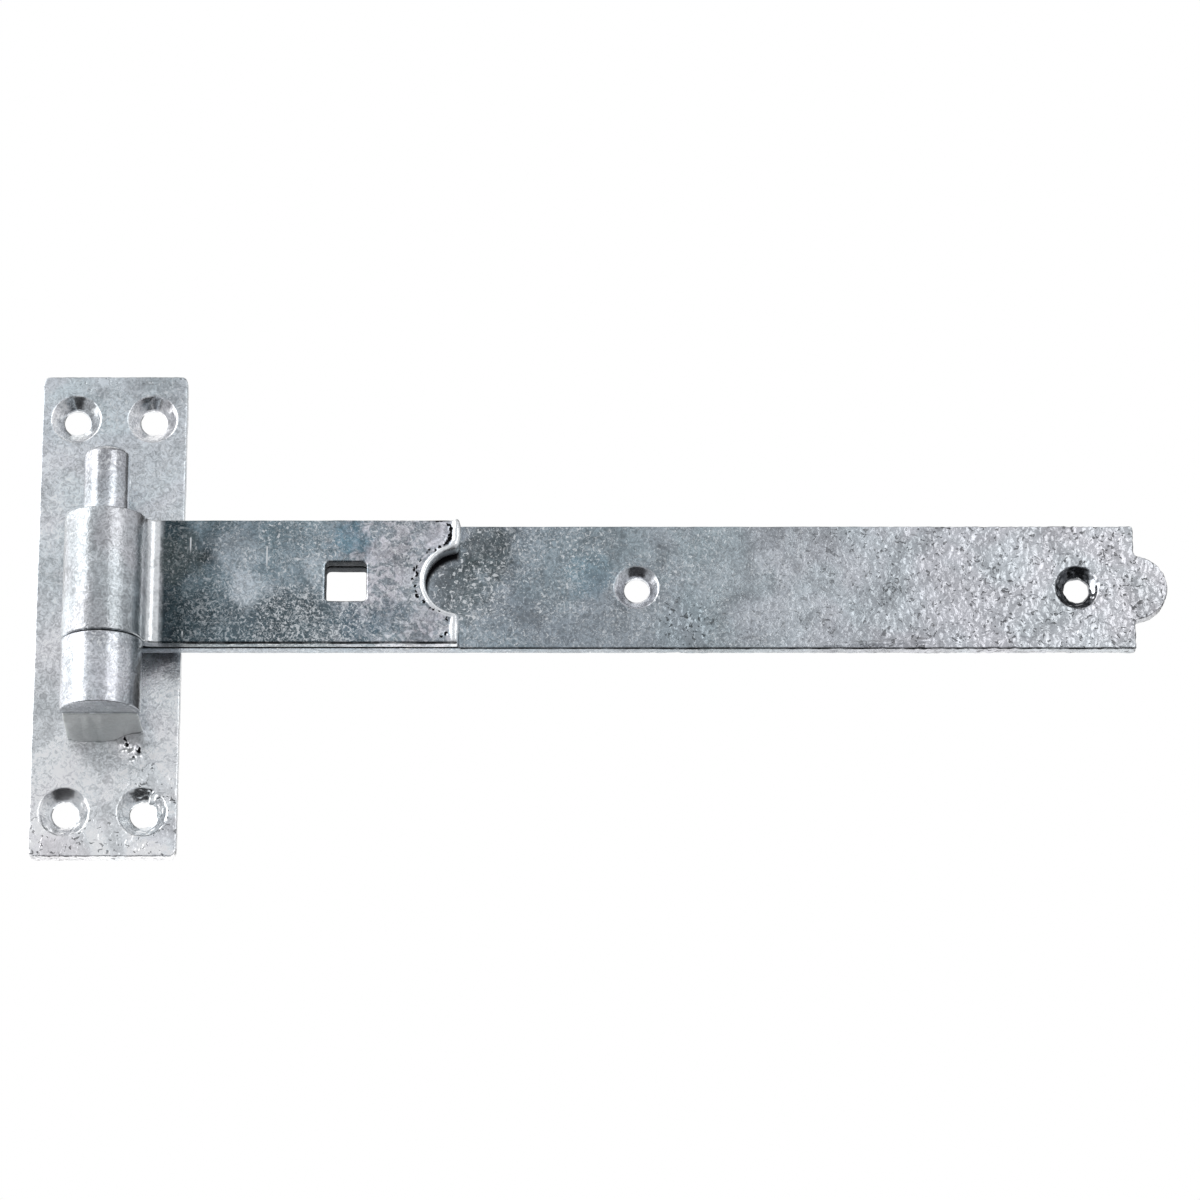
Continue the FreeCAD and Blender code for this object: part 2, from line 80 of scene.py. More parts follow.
def only(obj):
    """Select one object and make it the active one."""
    nothing_selected()
    obj.select_set(True)
    bpy.context.view_layer.objects.active = obj


def added(name):
    """Name the primitive that was just added and move its place into its mesh."""
    obj = bpy.context.object
    obj.name = obj.data.name = name
    bpy.ops.object.transform_apply(location=True, rotation=True, scale=True)
    return obj


def pick(obj, kind, wanted):
    """Select the vertices, edges or faces of obj that pass a test, and stay in edit mode."""
    only(obj)
    mesh = obj.data
    modes = {"VERT": (True, False, False), "EDGE": (False, True, False), "FACE": (False, False, True)}
    bpy.context.tool_settings.mesh_select_mode = modes[kind]
    for group in (mesh.vertices, mesh.edges, mesh.polygons):
        group.foreach_set("select", [False] * len(group))
    if kind == "VERT":
        for vert in mesh.vertices:
            vert.select = bool(wanted(vert.co))
    if kind == "EDGE":
        for edge in mesh.edges:
            first, last = (mesh.vertices[number].co for number in edge.vertices)
            edge.select = bool(wanted((first + last) / 2, (last - first).normalized()))
    if kind == "FACE":
        for face in mesh.polygons:
            face.select = bool(wanted(face.center, face.normal))
    bpy.ops.object.mode_set(mode="EDIT")


def finish_edit():
    """Go back to object mode, which writes the edited mesh."""
    bpy.ops.object.mode_set(mode="OBJECT")


def modify(obj, kind, **settings):
    """Add a modifier, set it and apply it."""
    only(obj)
    modifier = obj.modifiers.new(kind.title(), kind)
    for key, setting in settings.items():
        setattr(modifier, key, setting)
    bpy.ops.object.modifier_apply(modifier=modifier.name)


def boolean(obj, tool, operation="DIFFERENCE"):
    """Cut obj with a tool body, or weld the tool body to it, and take the tool away."""
    modify(obj, "BOOLEAN", object=tool, operation=operation, solver="EXACT")
    mesh = tool.data
    bpy.data.objects.remove(tool)
    bpy.data.meshes.remove(mesh)


def close_skin(obj):
    """Merge double points and turn every face outwards."""
    pick(obj, "FACE", lambda place, normal: True)
    bpy.ops.mesh.remove_doubles(threshold=MM / 100)
    bpy.ops.mesh.normals_make_consistent(inside=False)
    finish_edit()


def report(obj):
    """Print how many faces a piece has and the box that it fills."""
    low = [min(vert.co[axis] for vert in obj.data.vertices) for axis in range(3)]
    high = [max(vert.co[axis] for vert in obj.data.vertices) for axis in range(3)]
    text = ", ".join(f"{a / MM:.1f}..{b / MM:.1f}" for a, b in zip(low, high))
    print(f"{obj.name}: {len(obj.data.polygons)} faces, {text} mm")


# %% [markdown]
# ## The band
# The real band starts as a straight bar. The smith heats one end, rolls it round a mandrel, sets it back on
# itself and hammers the short leaf flat on the strap. A closed outline could be padded instead, but
# extruding and spinning the bar's end section repeats the smith's own steps and keeps even quads.

# %% Roll the bar
SEAM, HOLLOW = 0.8 * MM, 3 * MM
HALF = STRAP_THICK / 2
EYE_LINE = BORE_RADIUS + HALF
LEAF_LINE = BORE_RADIUS - SEAM - HALF
TURN_LINE = HOLLOW + HALF
turn_y = LEAF_LINE - TURN_LINE
turn_x = math.sqrt((EYE_LINE + TURN_LINE) ** 2 - turn_y ** 2)
lean = math.atan2(-turn_y, turn_x)
shoulder_end = (SHOULDER, PIN_Y + EYE_LINE, BAND_Z)
eye_centre, turn_centre = (0, PIN_Y, BAND_Z), (turn_x, PIN_Y + turn_y, BAND_Z)

nothing_selected()
bpy.ops.mesh.primitive_plane_add(size=1, location=shoulder_end, rotation=(0, math.pi / 2, 0))
bpy.context.object.scale = (STRAP_WIDTH, STRAP_THICK, 1)
band = added("band_skin")
bpy.ops.object.mode_set(mode="EDIT")
bpy.ops.mesh.select_all(action="SELECT")
bpy.ops.mesh.delete(type="ONLY_FACE")
bpy.ops.mesh.select_all(action="SELECT")
bpy.ops.mesh.extrude_edges_move(TRANSFORM_OT_translate={"value": (-SHOULDER, 0, 0)})
bpy.ops.mesh.spin(steps=72, angle=1.5 * math.pi - lean, center=eye_centre, axis=(0, 0, -1))
bpy.ops.mesh.spin(steps=20, angle=math.pi / 2 - lean, center=turn_centre, axis=(0, 0, 1))
bpy.ops.mesh.extrude_edges_move(TRANSFORM_OT_translate={"value": (LEAF_END - turn_x, 0, 0)})
bpy.ops.mesh.select_all(action="SELECT")
bpy.ops.mesh.remove_doubles(threshold=MM / 100)
bpy.ops.mesh.select_all(action="DESELECT")
bpy.ops.mesh.select_non_manifold()
bpy.ops.mesh.edge_face_add()
finish_edit()
close_skin(band)
report(band)

# %% [markdown]
# ## The punched tip and the notch
# One round punch of 9 mm radius makes both ends of the pattern: the lobe at the tip and the notch in the
# leaf. A real tip is cut out of a longer bar. Here a disc is added to a shorter one, because that is a single
# step. Small quarter-round corner pieces fill the lobe's roots and round the notch's mouth, and they are the
# same shape each time.

# %% Punch the lobe and the notch
STRAP_BACK, STRAP_FRONT = PIN_Y + EYE_LINE + HALF, PIN_Y + EYE_LINE - HALF
LEAF_BACK, LEAF_FRONT = PIN_Y + LEAF_LINE + HALF, PIN_Y + LEAF_LINE - HALF


def rod(name, x, z, radius, y_low, y_high, sides=96):
    """A round bar along Y."""
    nothing_selected()
    bpy.ops.mesh.primitive_cylinder_add(vertices=sides, radius=radius, depth=y_high - y_low,
                                        location=(x, (y_low + y_high) / 2, z), rotation=(math.pi / 2, 0, 0))
    return added(name)


def block(name, low, high):
    """A box between two corners."""
    nothing_selected()
    bpy.ops.mesh.primitive_cube_add(size=1, location=[(a + b) / 2 for a, b in zip(low, high)])
    bpy.context.object.scale = [b - a for a, b in zip(low, high)]
    return added(name)


def corner_piece(x, z, toward_x, toward_z, y_low, y_high, radius=1.2 * MM, root=0.4 * MM):
    """A square bar whose far corner is scooped out round, so that it fills or cuts a rounded corner."""
    far_x, far_z = x + toward_x * radius, z + toward_z * radius
    near_x, near_z = x - toward_x * root, z - toward_z * root
    piece = block("corner", (min(far_x, near_x), y_low, min(far_z, near_z)),
                  (max(far_x, near_x), y_high, max(far_z, near_z)))
    boolean(piece, rod("scoop", far_x, far_z, radius, y_low - MM, y_high + MM, 48))
    return piece


notch_depths = (LEAF_FRONT - MM, LEAF_BACK + SEAM / 2)
boolean(band, rod("lobe", SHOULDER, BAND_Z, PUNCH, STRAP_FRONT, STRAP_BACK), "UNION")
boolean(band, rod("notch", LEAF_END, BAND_Z, PUNCH, *notch_depths))
for side in (-1, 1):
    corner_z = BAND_Z + side * PUNCH
    boolean(band, corner_piece(SHOULDER, corner_z, 1, side, STRAP_FRONT, STRAP_BACK), "UNION")
    boolean(band, corner_piece(LEAF_END, corner_z, -1, side, *notch_depths))
report(band)

# %% [markdown]
# ## Holes
# A coach bolt's square neck needs a square hole through both layers, and the screws have countersunk holes.
# A cone and a cylinder could be cut one after the other. The tool here is both in one: a circle that is
# extruded and shrunk to the drill's size, and then extruded straight through.

# %% Punch the square hole and drill the screw holes
SQUARE_X, SQUARE = 65.5 * MM, 11.2 * MM
SCREW_X = (144.5 * MM, 264.4 * MM)
BAND_HOLE, BAND_SINK = 3.4 * MM, 6.1 * MM


def countersink(x, z, face_y, hole, sink, proud=MM):
    """A drill with a 90 degree countersink, pointing along +Y, whose rim lies in the face at face_y."""
    deep = sink - hole
    nothing_selected()
    bpy.ops.mesh.primitive_circle_add(vertices=64, radius=sink + proud, fill_type="NGON",
                                      location=(x, face_y - proud, z), rotation=(math.pi / 2, 0, 0))
    drill = added("drill")
    pick(drill, "FACE", lambda place, normal: True)
    bpy.ops.mesh.extrude_region_move(TRANSFORM_OT_translate={"value": (0, proud + deep, 0)})
    shrink = hole / (sink + proud)
    bpy.ops.transform.resize(value=(shrink, 1, shrink), center_override=(x, face_y + deep, z))
    bpy.ops.mesh.extrude_region_move(TRANSFORM_OT_translate={"value": (0, 10 * MM, 0)})
    finish_edit()
    close_skin(drill)
    return drill


square = block("square", (SQUARE_X - SQUARE / 2, LEAF_FRONT - MM, BAND_Z - SQUARE / 2),
               (SQUARE_X + SQUARE / 2, STRAP_BACK + MM, BAND_Z + SQUARE / 2))
pick(square, "EDGE", lambda middle, along: abs(along.y) > 0.9)
bpy.ops.mesh.bevel(offset=MM, segments=4)
finish_edit()
boolean(band, square)
for screw_x in SCREW_X:
    boolean(band, countersink(screw_x, BAND_Z, STRAP_FRONT, BAND_HOLE, BAND_SINK))
report(band)

# %% [markdown]
# ## The hook's plate
# The plate is a length of flat bar with round corners and four countersunk holes. A bevel on the four edges
# that run through its thickness rounds the corners, as a shear or a file does on the real plate.

# %% Cut the plate
PLATE_WIDTH, PLATE_HEIGHT, PLATE_CORNER = 40 * MM, 138 * MM, 1.8 * MM
PLATE_HOLES = [(x, z) for x in (-10.6 * MM, 10.6 * MM) for z in (-56.5 * MM, 56.5 * MM)]
PLATE_HOLE, PLATE_SINK = 3.5 * MM, 6.9 * MM

plate = block("plate_skin", (-PLATE_WIDTH / 2, PLATE_FRONT, -PLATE_HEIGHT / 2),
              (PLATE_WIDTH / 2, 0, PLATE_HEIGHT / 2))
pick(plate, "EDGE", lambda middle, along: abs(along.y) > 0.9)
bpy.ops.mesh.bevel(offset=PLATE_CORNER, segments=6)
finish_edit()
for hole_x, hole_z in PLATE_HOLES:
    boolean(plate, countersink(hole_x, hole_z, PLATE_FRONT, PLATE_HOLE, PLATE_SINK))
report(plate)

# %% [markdown]
# ## The collar and the pin
# The collar is a short length of round bar on a narrower foot that reaches back to the plate. The pin's
# domed tip could be a sphere cut in half, but that leaves a crowded pole, so the last face is extruded ring
# by ring along the dome instead.

# %% Turn the collar and the pin
FOOT_WIDTH = 15.5 * MM
PIN_SHOULDER, DOME, RINGS = 39.7 * MM, 2.8 * MM, 10


def upright(name, radius, low, high, sides=96):
    """A round bar along Z on the pin's axis."""
    nothing_selected()
    bpy.ops.mesh.primitive_cylinder_add(vertices=sides, radius=radius, depth=high - low,
                                        location=(0, PIN_Y, (low + high) / 2))
    return added(name)


collar = upright("collar_skin", COLLAR_RADIUS, COLLAR_LOW, COLLAR_HIGH)
foot = block("foot", (-FOOT_WIDTH / 2, PIN_Y, COLLAR_LOW),
             (FOOT_WIDTH / 2, PLATE_FRONT, COLLAR_HIGH - 0.5 * MM))
boolean(collar, foot, "UNION")
report(collar)

pin = upright("pin_skin", PIN_RADIUS, COLLAR_LOW + 0.4 * MM, PIN_SHOULDER)
pick(pin, "FACE", lambda place, normal: normal.z > 0.9)
sphere = (PIN_RADIUS ** 2 + DOME ** 2) / (2 * DOME)
rim, climbed = PIN_RADIUS, 0
for ring in range(1, RINGS):
    climb = DOME * ring / RINGS
    wide = math.sqrt(sphere ** 2 - (sphere - DOME + climb) ** 2)
    bpy.ops.mesh.extrude_region_move(TRANSFORM_OT_translate={"value": (0, 0, climb - climbed)})
    bpy.ops.transform.resize(value=(wide / rim, wide / rim, 1),
                             center_override=(0, PIN_Y, PIN_SHOULDER + climb))
    rim, climbed = wide, climb
finish_edit()
report(pin)

# %% [markdown]
# ## The weld
# A ramp of weld runs from the plate up the collar's lower end. Melted spheres would do, but a block keeps
# the weld's straight sides. Its long edges are cut into eight columns. The front of the lower edge is lifted
# to make the ramp, and then single rows of points are lifted a little more, because no weld is quite even.

# %% Lay the weld
WELD_HALF, WELD_LOW = 10.4 * MM, -36.9 * MM
LOW_ROW, COLUMNS = -36 * MM, 8

weld = block("weld_skin", (-WELD_HALF, PIN_Y, WELD_LOW), (WELD_HALF, PLATE_FRONT, COLLAR_LOW + 0.5 * MM))
pick(weld, "EDGE", lambda middle, along: abs(along.x) > 0.9)
bpy.ops.mesh.subdivide(number_cuts=COLUMNS - 1)
finish_edit()
pick(weld, "VERT", lambda place: place.z < LOW_ROW and place.y < PIN_Y + MM)
bpy.ops.transform.translate(value=(0, 0, 3 * MM))
finish_edit()
for column, lift in ((-10.4, 0.9), (-7.8, 0.2), (2.6, 0.4), (5.2, 1.7), (7.8, 2.5), (10.4, 2.8)):
    pick(weld, "VERT", lambda place: place.z < LOW_ROW and abs(place.x - column * MM) < 0.1 * MM)
    bpy.ops.transform.translate(value=(0, 0, lift * MM))
    finish_edit()
modify(weld, "BEVEL", width=0.5 * MM, segments=3)
report(weld)

# %% [markdown]
# ## What the zinc bath leaves
# Molten zinc drains off the edges while the part is lifted out. It leaves a raised rim round the notch, a
# bead down each horn of the leaf and small pits where ash was trapped. Beads are stretched spheres laid on
# the steel, in a chain where they make the rim, and pits are small spheres cut out of it. A voxel remesh
# then melts all of it into one skin, and soft clouds push that skin in and out. Sculpting would do the same
# by hand, but it can't be repeated from a script.


# %% Helpers for beads, pits and skin
PIT_DEPTH, MOST_TRIANGLES = 0.7, 190000


def bead(centre, size, turn=0, tip=0):
    """A stretched sphere in millimetres; turn is its angle in the face and tip leans it, in degrees."""
    nothing_selected()
    bpy.ops.mesh.primitive_uv_sphere_add(segments=20, ring_count=12, radius=1,
                                         location=[value * MM for value in centre],
                                         rotation=(math.radians(tip), math.radians(turn), 0))
    bpy.context.object.scale = [value * MM for value in size]
    return added("bead")


def join(obj, pieces):
    """Put loose pieces into obj; the skin made later melts them together."""
    only(obj)
    for piece in pieces:
        piece.select_set(True)
    bpy.ops.object.join()


def cut_pits(obj, face_y, spots):
    """Cut round pits, each given as x, z, half its width, half its height and its turn in degrees."""
    for x, z, wide, high, turn in spots:
        boolean(obj, bead((x, face_y, z), (wide, PIT_DEPTH, high), turn))


def weigh(obj, rule):
    """Make a vertex group whose weight at every point comes from a rule of x, y and z in millimetres."""
    places = np.empty(len(obj.data.vertices) * 3)
    obj.data.vertices.foreach_get("co", places)
    x, y, z = places.reshape(-1, 3).T / MM
    level = np.round(10 * np.clip(rule(x, y, z), 0, 1)).astype(int)
    group = obj.vertex_groups.new(name="rough")
    for step in range(1, 11):
        group.add(np.flatnonzero(level == step).tolist(), step / 10, "REPLACE")


def waves(obj, width, height, group=""):
    """Push the skin in and out by clouds of a given width, both in millimetres."""
    texture = bpy.data.textures.new(f"{obj.name}_{width}", "CLOUDS")
    texture.noise_scale = width * MM
    texture.noise_depth = 1
    modify(obj, "DISPLACE", texture=texture, texture_coords="LOCAL", strength=height * MM, mid_level=0.5,
           vertex_group=group)


def melt(obj, voxel):
    """Melt the loose pieces into one skin and soften its edges."""
    modify(obj, "REMESH", mode="VOXEL", voxel_size=voxel * 1 * MM)
    modify(obj, "SMOOTH", factor=0.5, iterations=3)


def place_skin(obj, node):
    """Keep the piece light enough, shade it smooth and let it stand for its CAD node."""
    triangles = 2 * len(obj.data.polygons)
    if triangles > MOST_TRIANGLES:
        modify(obj, "DECIMATE", ratio=MOST_TRIANGLES / triangles)
    only(obj)
    bpy.ops.object.shade_smooth()
    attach(obj, "band" if node == "band" else "hook")
    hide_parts(node)
    report(obj)


def rise(value, low, high):
    """0 below low, 1 above high and a straight slope between; low may be the larger one."""
    return np.clip((value - low) / (high - low), 0, 1)


# %% Beads and pits on the band
X, Z, FACE, STRAP = LEAF_END / MM, BAND_Z / MM, LEAF_FRONT / MM, STRAP_FRONT / MM
GROOVE = [
    (X - 2.8, Z + 16.1, 0.35, 0.9, -47), (X - 2.1, Z + 14.9, 0.4, 1.1, 0), (X - 2.15, Z + 13.4, 0.5, 1.1, 5),
    (X - 2.6, Z + 12.0, 0.6, 1.1, 28), (X - 3.4, Z + 10.8, 0.5, 1.0, 39),
]
LARGE_PITS = [
    (X - 11.25, Z + 2.2, 0.45, 1.0, 8), (X - 11.7, Z - 1.3, 0.45, 0.45, 0), (X - 11.0, Z - 4.2, 0.65, 0.5, 0),
    (X - 9.3, Z - 5.9, 0.5, 0.5, 0), (X - 6.3, Z + 9.0, 0.4, 0.6, 15), (X - 3.2, Z - 15.0, 0.4, 0.8, 40),
]
RIM_BEADS = 27

cut_pits(band, FACE, GROOVE + LARGE_PITS)
rim_chain = []
for step in range(RIM_BEADS):
    turn = 100 + 6.1 * step
    wide = 0.75 - 0.012 * step + 0.4 * max(0, 1 - step / 5)
    out, angle = PUNCH / MM + wide, math.radians(turn)
    middle = (X + out * math.cos(angle), FACE + 0.25, Z + out * math.sin(angle))
    rim_chain.append(bead(middle, (wide, 1.0 - 0.015 * step, 1.5), -turn))
join(band, rim_chain + [
    bead((X - 0.55, FACE + 0.4, Z + 13.7), (1.3, 1.45, 4.4)),
    bead((X - 1.3, FACE + 0.4, Z + 10.6), (1.5, 1.4, 2.0), 45),
    bead((X - 1.0, FACE + 0.3, Z - 13.4), (1.3, 0.9, 4.2)),
    bead((X - 1.0, FACE + 0.5, Z - 16.3), (1.2, 0.8, 1.1)),
    bead((208, STRAP + 0.15, Z - 16.0), (16, 0.55, 0.55), -1.4),
    bead((221, STRAP + 0.2, Z - 15.4), (4, 0.6, 0.7), -6),
])
report(band)


# %% Skin of the band
def band_rough(x, y, z):
    """The strap's tip, whose rough part starts on a slant, and an island below the first screw hole."""
    return np.maximum(rise(x + 0.8 * (Z - z), 165, 250), rise(np.hypot(x - 158, z - Z + 10), 14, 6))


melt(band, 0.36)
weigh(band, band_rough)
waves(band, 9, 0.16)
waves(band, 3.5, 0.09)
waves(band, 1.6, 0.5, "rough")
place_skin(band, "band")

# %% [markdown]
# ## The hook's skin
# Zinc dripped on the plate leaves lumps, and small craters lie beside the weld's toe. The collar keeps a
# burr on its upper rim, which is a thin ring, and four soft ripples lie side by side under the weld. The
# hook's pieces stay separate, so each one is melted by itself.

# %% Lumps and craters on the plate
PLATE = PLATE_FRONT / MM
ASH_PITS = [
    (6.0, -37.4, 0.5, 0.7, -10), (5.5, -36.1, 0.35, 0.8, -40), (9.3, -39.2, 0.55, 1.0, 0),
    (8.0, -41.1, 0.4, 0.4, 0),
]
BRIGHT_PITS = [(6.7, -38.5, 0.6, 0.6, 0), (8.9, -38.6, 0.7, 0.9, 0)]

cut_pits(plate, PLATE, ASH_PITS + BRIGHT_PITS)
join(plate, [
    bead((3.4, -4.3, 37.8), (1.6, 0.7, 1.3)),
    bead((13.4, -4.2, -52.9), (1.2, 0.6, 2.0), 20),
    bead((12.6, -4.2, -49.6), (0.8, 0.6, 0.9)),
    bead((4.8, -4.4, -37.7), (0.55, 0.6, 1.0), -20),
    bead((5.5, -4.4, -39.3), (0.7, 0.6, 0.6)),
    bead((7.0, -4.4, -39.9), (0.5, 0.6, 1.2), 45),
    bead((9.3, -4.4, -40.9), (1.1, 0.5, 0.5), 20),
    bead((7.4, -4.4, -42.2), (0.7, 0.5, 0.5)),
])
report(plate)


# %% Skin of the plate
def plate_rough(x, y, z):
    """The plate's lower end with its right corner and, half as much, its upper end."""
    lower = np.maximum(rise(z, -52, -66), rise(np.hypot(x - 14, z + 52), 12, 3))
    return lower + rise(z, 50, 68) * 0.5


melt(plate, 0.4)
weigh(plate, plate_rough)
waves(plate, 9, 0.18)
waves(plate, 3.5, 0.1)
waves(plate, 1.6, 0.35, "rough")
place_skin(plate, "hook_plate")

# %% Skins of the collar, the pin and the weld
nothing_selected()
bpy.ops.mesh.primitive_torus_add(major_segments=96, minor_segments=12, major_radius=COLLAR_RADIUS - 0.25 * MM,
                                 minor_radius=0.35 * MM, location=(0, PIN_Y, COLLAR_HIGH - 0.4 * MM))
join(collar, [added("burr")])
for piece, node in ((collar, "collar"), (pin, "pin")):
    melt(piece, 0.28)
    waves(piece, 6, 0.12)
    waves(piece, 2.2, 0.06)
    place_skin(piece, node)
ripples = ((-7.0, -34.5, -10), (-3.7, -34.6, -11), (0.1, -34.5, -10), (3.4, -34.1, -6))
join(weld, [bead((x, -12.4, z), (3.4, 9.0, 1.4), 0, tip) for x, z, tip in ripples])
melt(weld, 0.3)
modify(weld, "SMOOTH", factor=0.5, iterations=12)
waves(weld, 3, 0.25)
place_skin(weld, "weld_bead")

# %% [markdown]
# ## Galvanised zinc
# Zinc is a metal with a dull skin, so the shader is metallic and fairly rough. Slow clouds mix darker and
# paler zinc, a twisted grain of about a millimetre roughens it and is painted with shade in its low places,
# and fine pale specks and hair-thin lines lie on top. Where the last zinc froze, at the band's tip and the
# plate's lower end, the skin is hammered and has small pits, darkened partly as ash and partly as painted
# shade. A painted picture could show all that, but it would show its dots in a close view. Noise nodes stay
# sharp, and they read the object's own coordinates, so the pattern stays on the metal when the band swings.


# %% Helpers for shader nodes
def add_node(tree, kind, settings=None, **inputs):
    """Add a shader node, set its options and link or set its inputs, by name or by number."""
    made = tree.nodes.new(kind)
    for key, setting in (settings or {}).items():
        setattr(made, key, setting)
    for key, value in inputs.items():
        numbered = key[0] == "i" and key[1:].isdigit()
        socket = made.inputs[int(key[1:])] if numbered else made.inputs[key.replace("_", " ")]
        if isinstance(value, bpy.types.NodeSocket):
            tree.links.new(value, socket)
        else:
            socket.default_value = value
    return made


def maths(tree, operation, first, second=0.0):
    """One sum of two values."""
    return add_node(tree, "ShaderNodeMath", {"operation": operation}, i0=first, i1=second).outputs[0]


def combine(tree, operation, *values):
    """Chain maths nodes of one kind over any number of values."""
    result = values[0]
    for value in values[1:]:
        result = maths(tree, operation, result, value)
    return result


def times(tree, *values):
    """The product, which is 1 only where every mask is 1."""
    return combine(tree, "MULTIPLY", *values)


def highest(tree, *values):
    """The largest value, which is 1 where any mask is 1."""
    return combine(tree, "MAXIMUM", *values)


def weaken(tree, value, mask, share=1.0):
    """Take a share of the value away where the mask is 1. With no mask the value stays as it is."""
    if mask is None:
        return value
    kept = add_node(tree, "ShaderNodeMath", {"operation": "MULTIPLY_ADD"}, i0=mask, i1=-share, i2=1.0)
    return times(tree, value, kept.outputs[0])


def stretch(tree, value, low, high, to_low=0.0, to_high=1.0):
    """Map low..high smoothly to to_low..to_high; low may be the larger one."""
    if low > high:
        low, high, to_low, to_high = high, low, to_high, to_low
    made = add_node(tree, "ShaderNodeMapRange", {"interpolation_type": "SMOOTHSTEP"}, i0=value, i1=low,
                    i2=high, i3=to_low, i4=to_high)
    return made.outputs[0]


def between(tree, value, start, full, fade, end):
    """1 from full to fade, and 0 before start and after end, all in millimetres."""
    return times(tree, stretch(tree, value, start * MM, full * MM), stretch(tree, value, end * MM, fade * MM))


def mix_colours(tree, factor, first, second, mode="MIX"):
    """The first colour where the factor is 0, the second where it is 1."""
    made = add_node(tree, "ShaderNodeMix", {"data_type": "RGBA", "blend_type": mode}, i0=factor, i6=first,
                    i7=second)
    return made.outputs[2]


def shades(tree, value, stops):
    """A colour ramp from a list of places and colours."""
    ramp = add_node(tree, "ShaderNodeValToRGB", None, Fac=value)
    points = ramp.color_ramp.elements
    for number, (place, colour) in enumerate(stops):
        point = points[number] if number < 2 else points.new(place)
        point.position, point.color = place, colour
    return ramp.outputs[0]


# %% Helpers for places on the metal
def vector(tree, operation, first, second=(0, 0, 0)):
    """One sum of two places. A length or a distance is a single value."""
    made = add_node(tree, "ShaderNodeVectorMath", {"operation": operation}, i0=first, i1=second)
    return made.outputs["Value" if operation in ("LENGTH", "DISTANCE") else "Vector"]


def axes(tree, place):
    """The x, y and z of a place."""
    return add_node(tree, "ShaderNodeSeparateXYZ", None, Vector=place).outputs


def flatten(tree, place):
    """The place as seen along Y, so that a distance from it is measured in the face."""
    return vector(tree, "MULTIPLY", place, (1, 0, 1))


def noise(tree, place, width, detail=4.0, rough=0.55, twist=0.0):
    """Noise whose features are about width millimetres wide."""
    made = add_node(tree, "ShaderNodeTexNoise", None, Vector=place, Scale=1 / (width * MM), Detail=detail,
                    Roughness=rough, Distortion=twist)
    return made.outputs[0]


def wander(tree, place, width, detail, reach, rough=0.55, twist=0.0):
    """Noise between -reach / 2 and reach / 2, which makes a straight border ragged."""
    centred = maths(tree, "SUBTRACT", noise(tree, place, width, detail, rough, twist), 0.5)
    return times(tree, centred, reach)


def patch(tree, place, centre, radius):
    """A soft round patch with a ragged border: 1 in the middle, 0 outside, in millimetres."""
    far = vector(tree, "DISTANCE", place, [value * MM for value in centre])
    far = maths(tree, "ADD", far, wander(tree, place, 5, 3, 14 * MM))
    return stretch(tree, far, radius * MM, 0.45 * radius * MM)


def in_front(tree, place, back):
    """1 on everything that lies in front of a plane y = back, in millimetres."""
    return stretch(tree, axes(tree, place)[1], back * MM, (back - 0.5) * MM)


def near_holes(tree, place, holes, radius, back):
    """1 inside round countersinks whose axes run along Y, 0 outside and on the back face."""
    flat = flatten(tree, place)
    rings = []
    for x, z in holes:
        far = vector(tree, "DISTANCE", flat, (x, 0, z))
        rings.append(stretch(tree, far, radius, radius - 0.4 * MM))
    return times(tree, highest(tree, *rings), in_front(tree, place, back))


def ash(tree, place, spots, back):
    """1 on ragged spots of dark ash, each given as x, z, half its width, half its height and its turn."""
    ragged = add_node(tree, "ShaderNodeTexNoise", None, Vector=place, Scale=1 / (0.9 * MM), Detail=1.0)
    ragged = vector(tree, "SUBTRACT", ragged.outputs["Color"], (0.5, 0.5, 0.5))
    ragged = vector(tree, "MULTIPLY", ragged, (1.2 * MM, 0, 1.2 * MM))
    flat = vector(tree, "ADD", flatten(tree, place), ragged)
    distances = []
    for x, z, wide, high, turn in spots:
        oval = add_node(tree, "ShaderNodeMapping", {"vector_type": "TEXTURE"}, Vector=flat,
                        Location=(x * MM, 0, z * MM), Rotation=(0, math.radians(turn), 0),
                        Scale=(wide * MM, MM, high * MM))
        distances.append(vector(tree, "LENGTH", oval.outputs[0]))
    nearest = combine(tree, "MINIMUM", *distances)
    return times(tree, stretch(tree, nearest, 1.1, 0.75), in_front(tree, place, back))


# %% [markdown]
# ## One recipe for three finishes
# The band, the plate and the hook came out of the same bath, so one function makes all their finishes. What
# differs is given to it as small rules: which colour lies below, where the zinc is rough, smooth, marked or
# burnt, and where light or shade is painted in. Three separate materials would be longer and would drift
# apart when one of them is changed.

# %% Relief and specks
def zinc_relief(tree, place, grain, relief, inside, coarse):
    """The bump of the grain. In the rough zone the grain turns into hammered zinc with small pits."""
    height, depth, pits = grain, relief[0] * MM, None
    if coarse is not None:
        pits = times(tree, stretch(tree, noise(tree, place, 1.25, 1, 0.5, 0.8), 0.36, 0.3), coarse)
        hammered = maths(tree, "SUBTRACT", noise(tree, place, 2.6, 1.5, 0.45, 0.9), grain)
        height = maths(tree, "ADD", grain, times(tree, coarse, hammered))
        height = maths(tree, "SUBTRACT", height, times(tree, pits, 0.4))
        depth = weaken(tree, stretch(tree, coarse, 0, 1, relief[0] * MM, relief[1] * MM), inside, 0.7)
    height = maths(tree, "ADD", height, times(tree, noise(tree, place, 0.55, 2, 0.6), 0.15))
    bump = add_node(tree, "ShaderNodeBump", None, Strength=1.0, Distance=depth, Height=height)
    return bump.outputs[0], pits


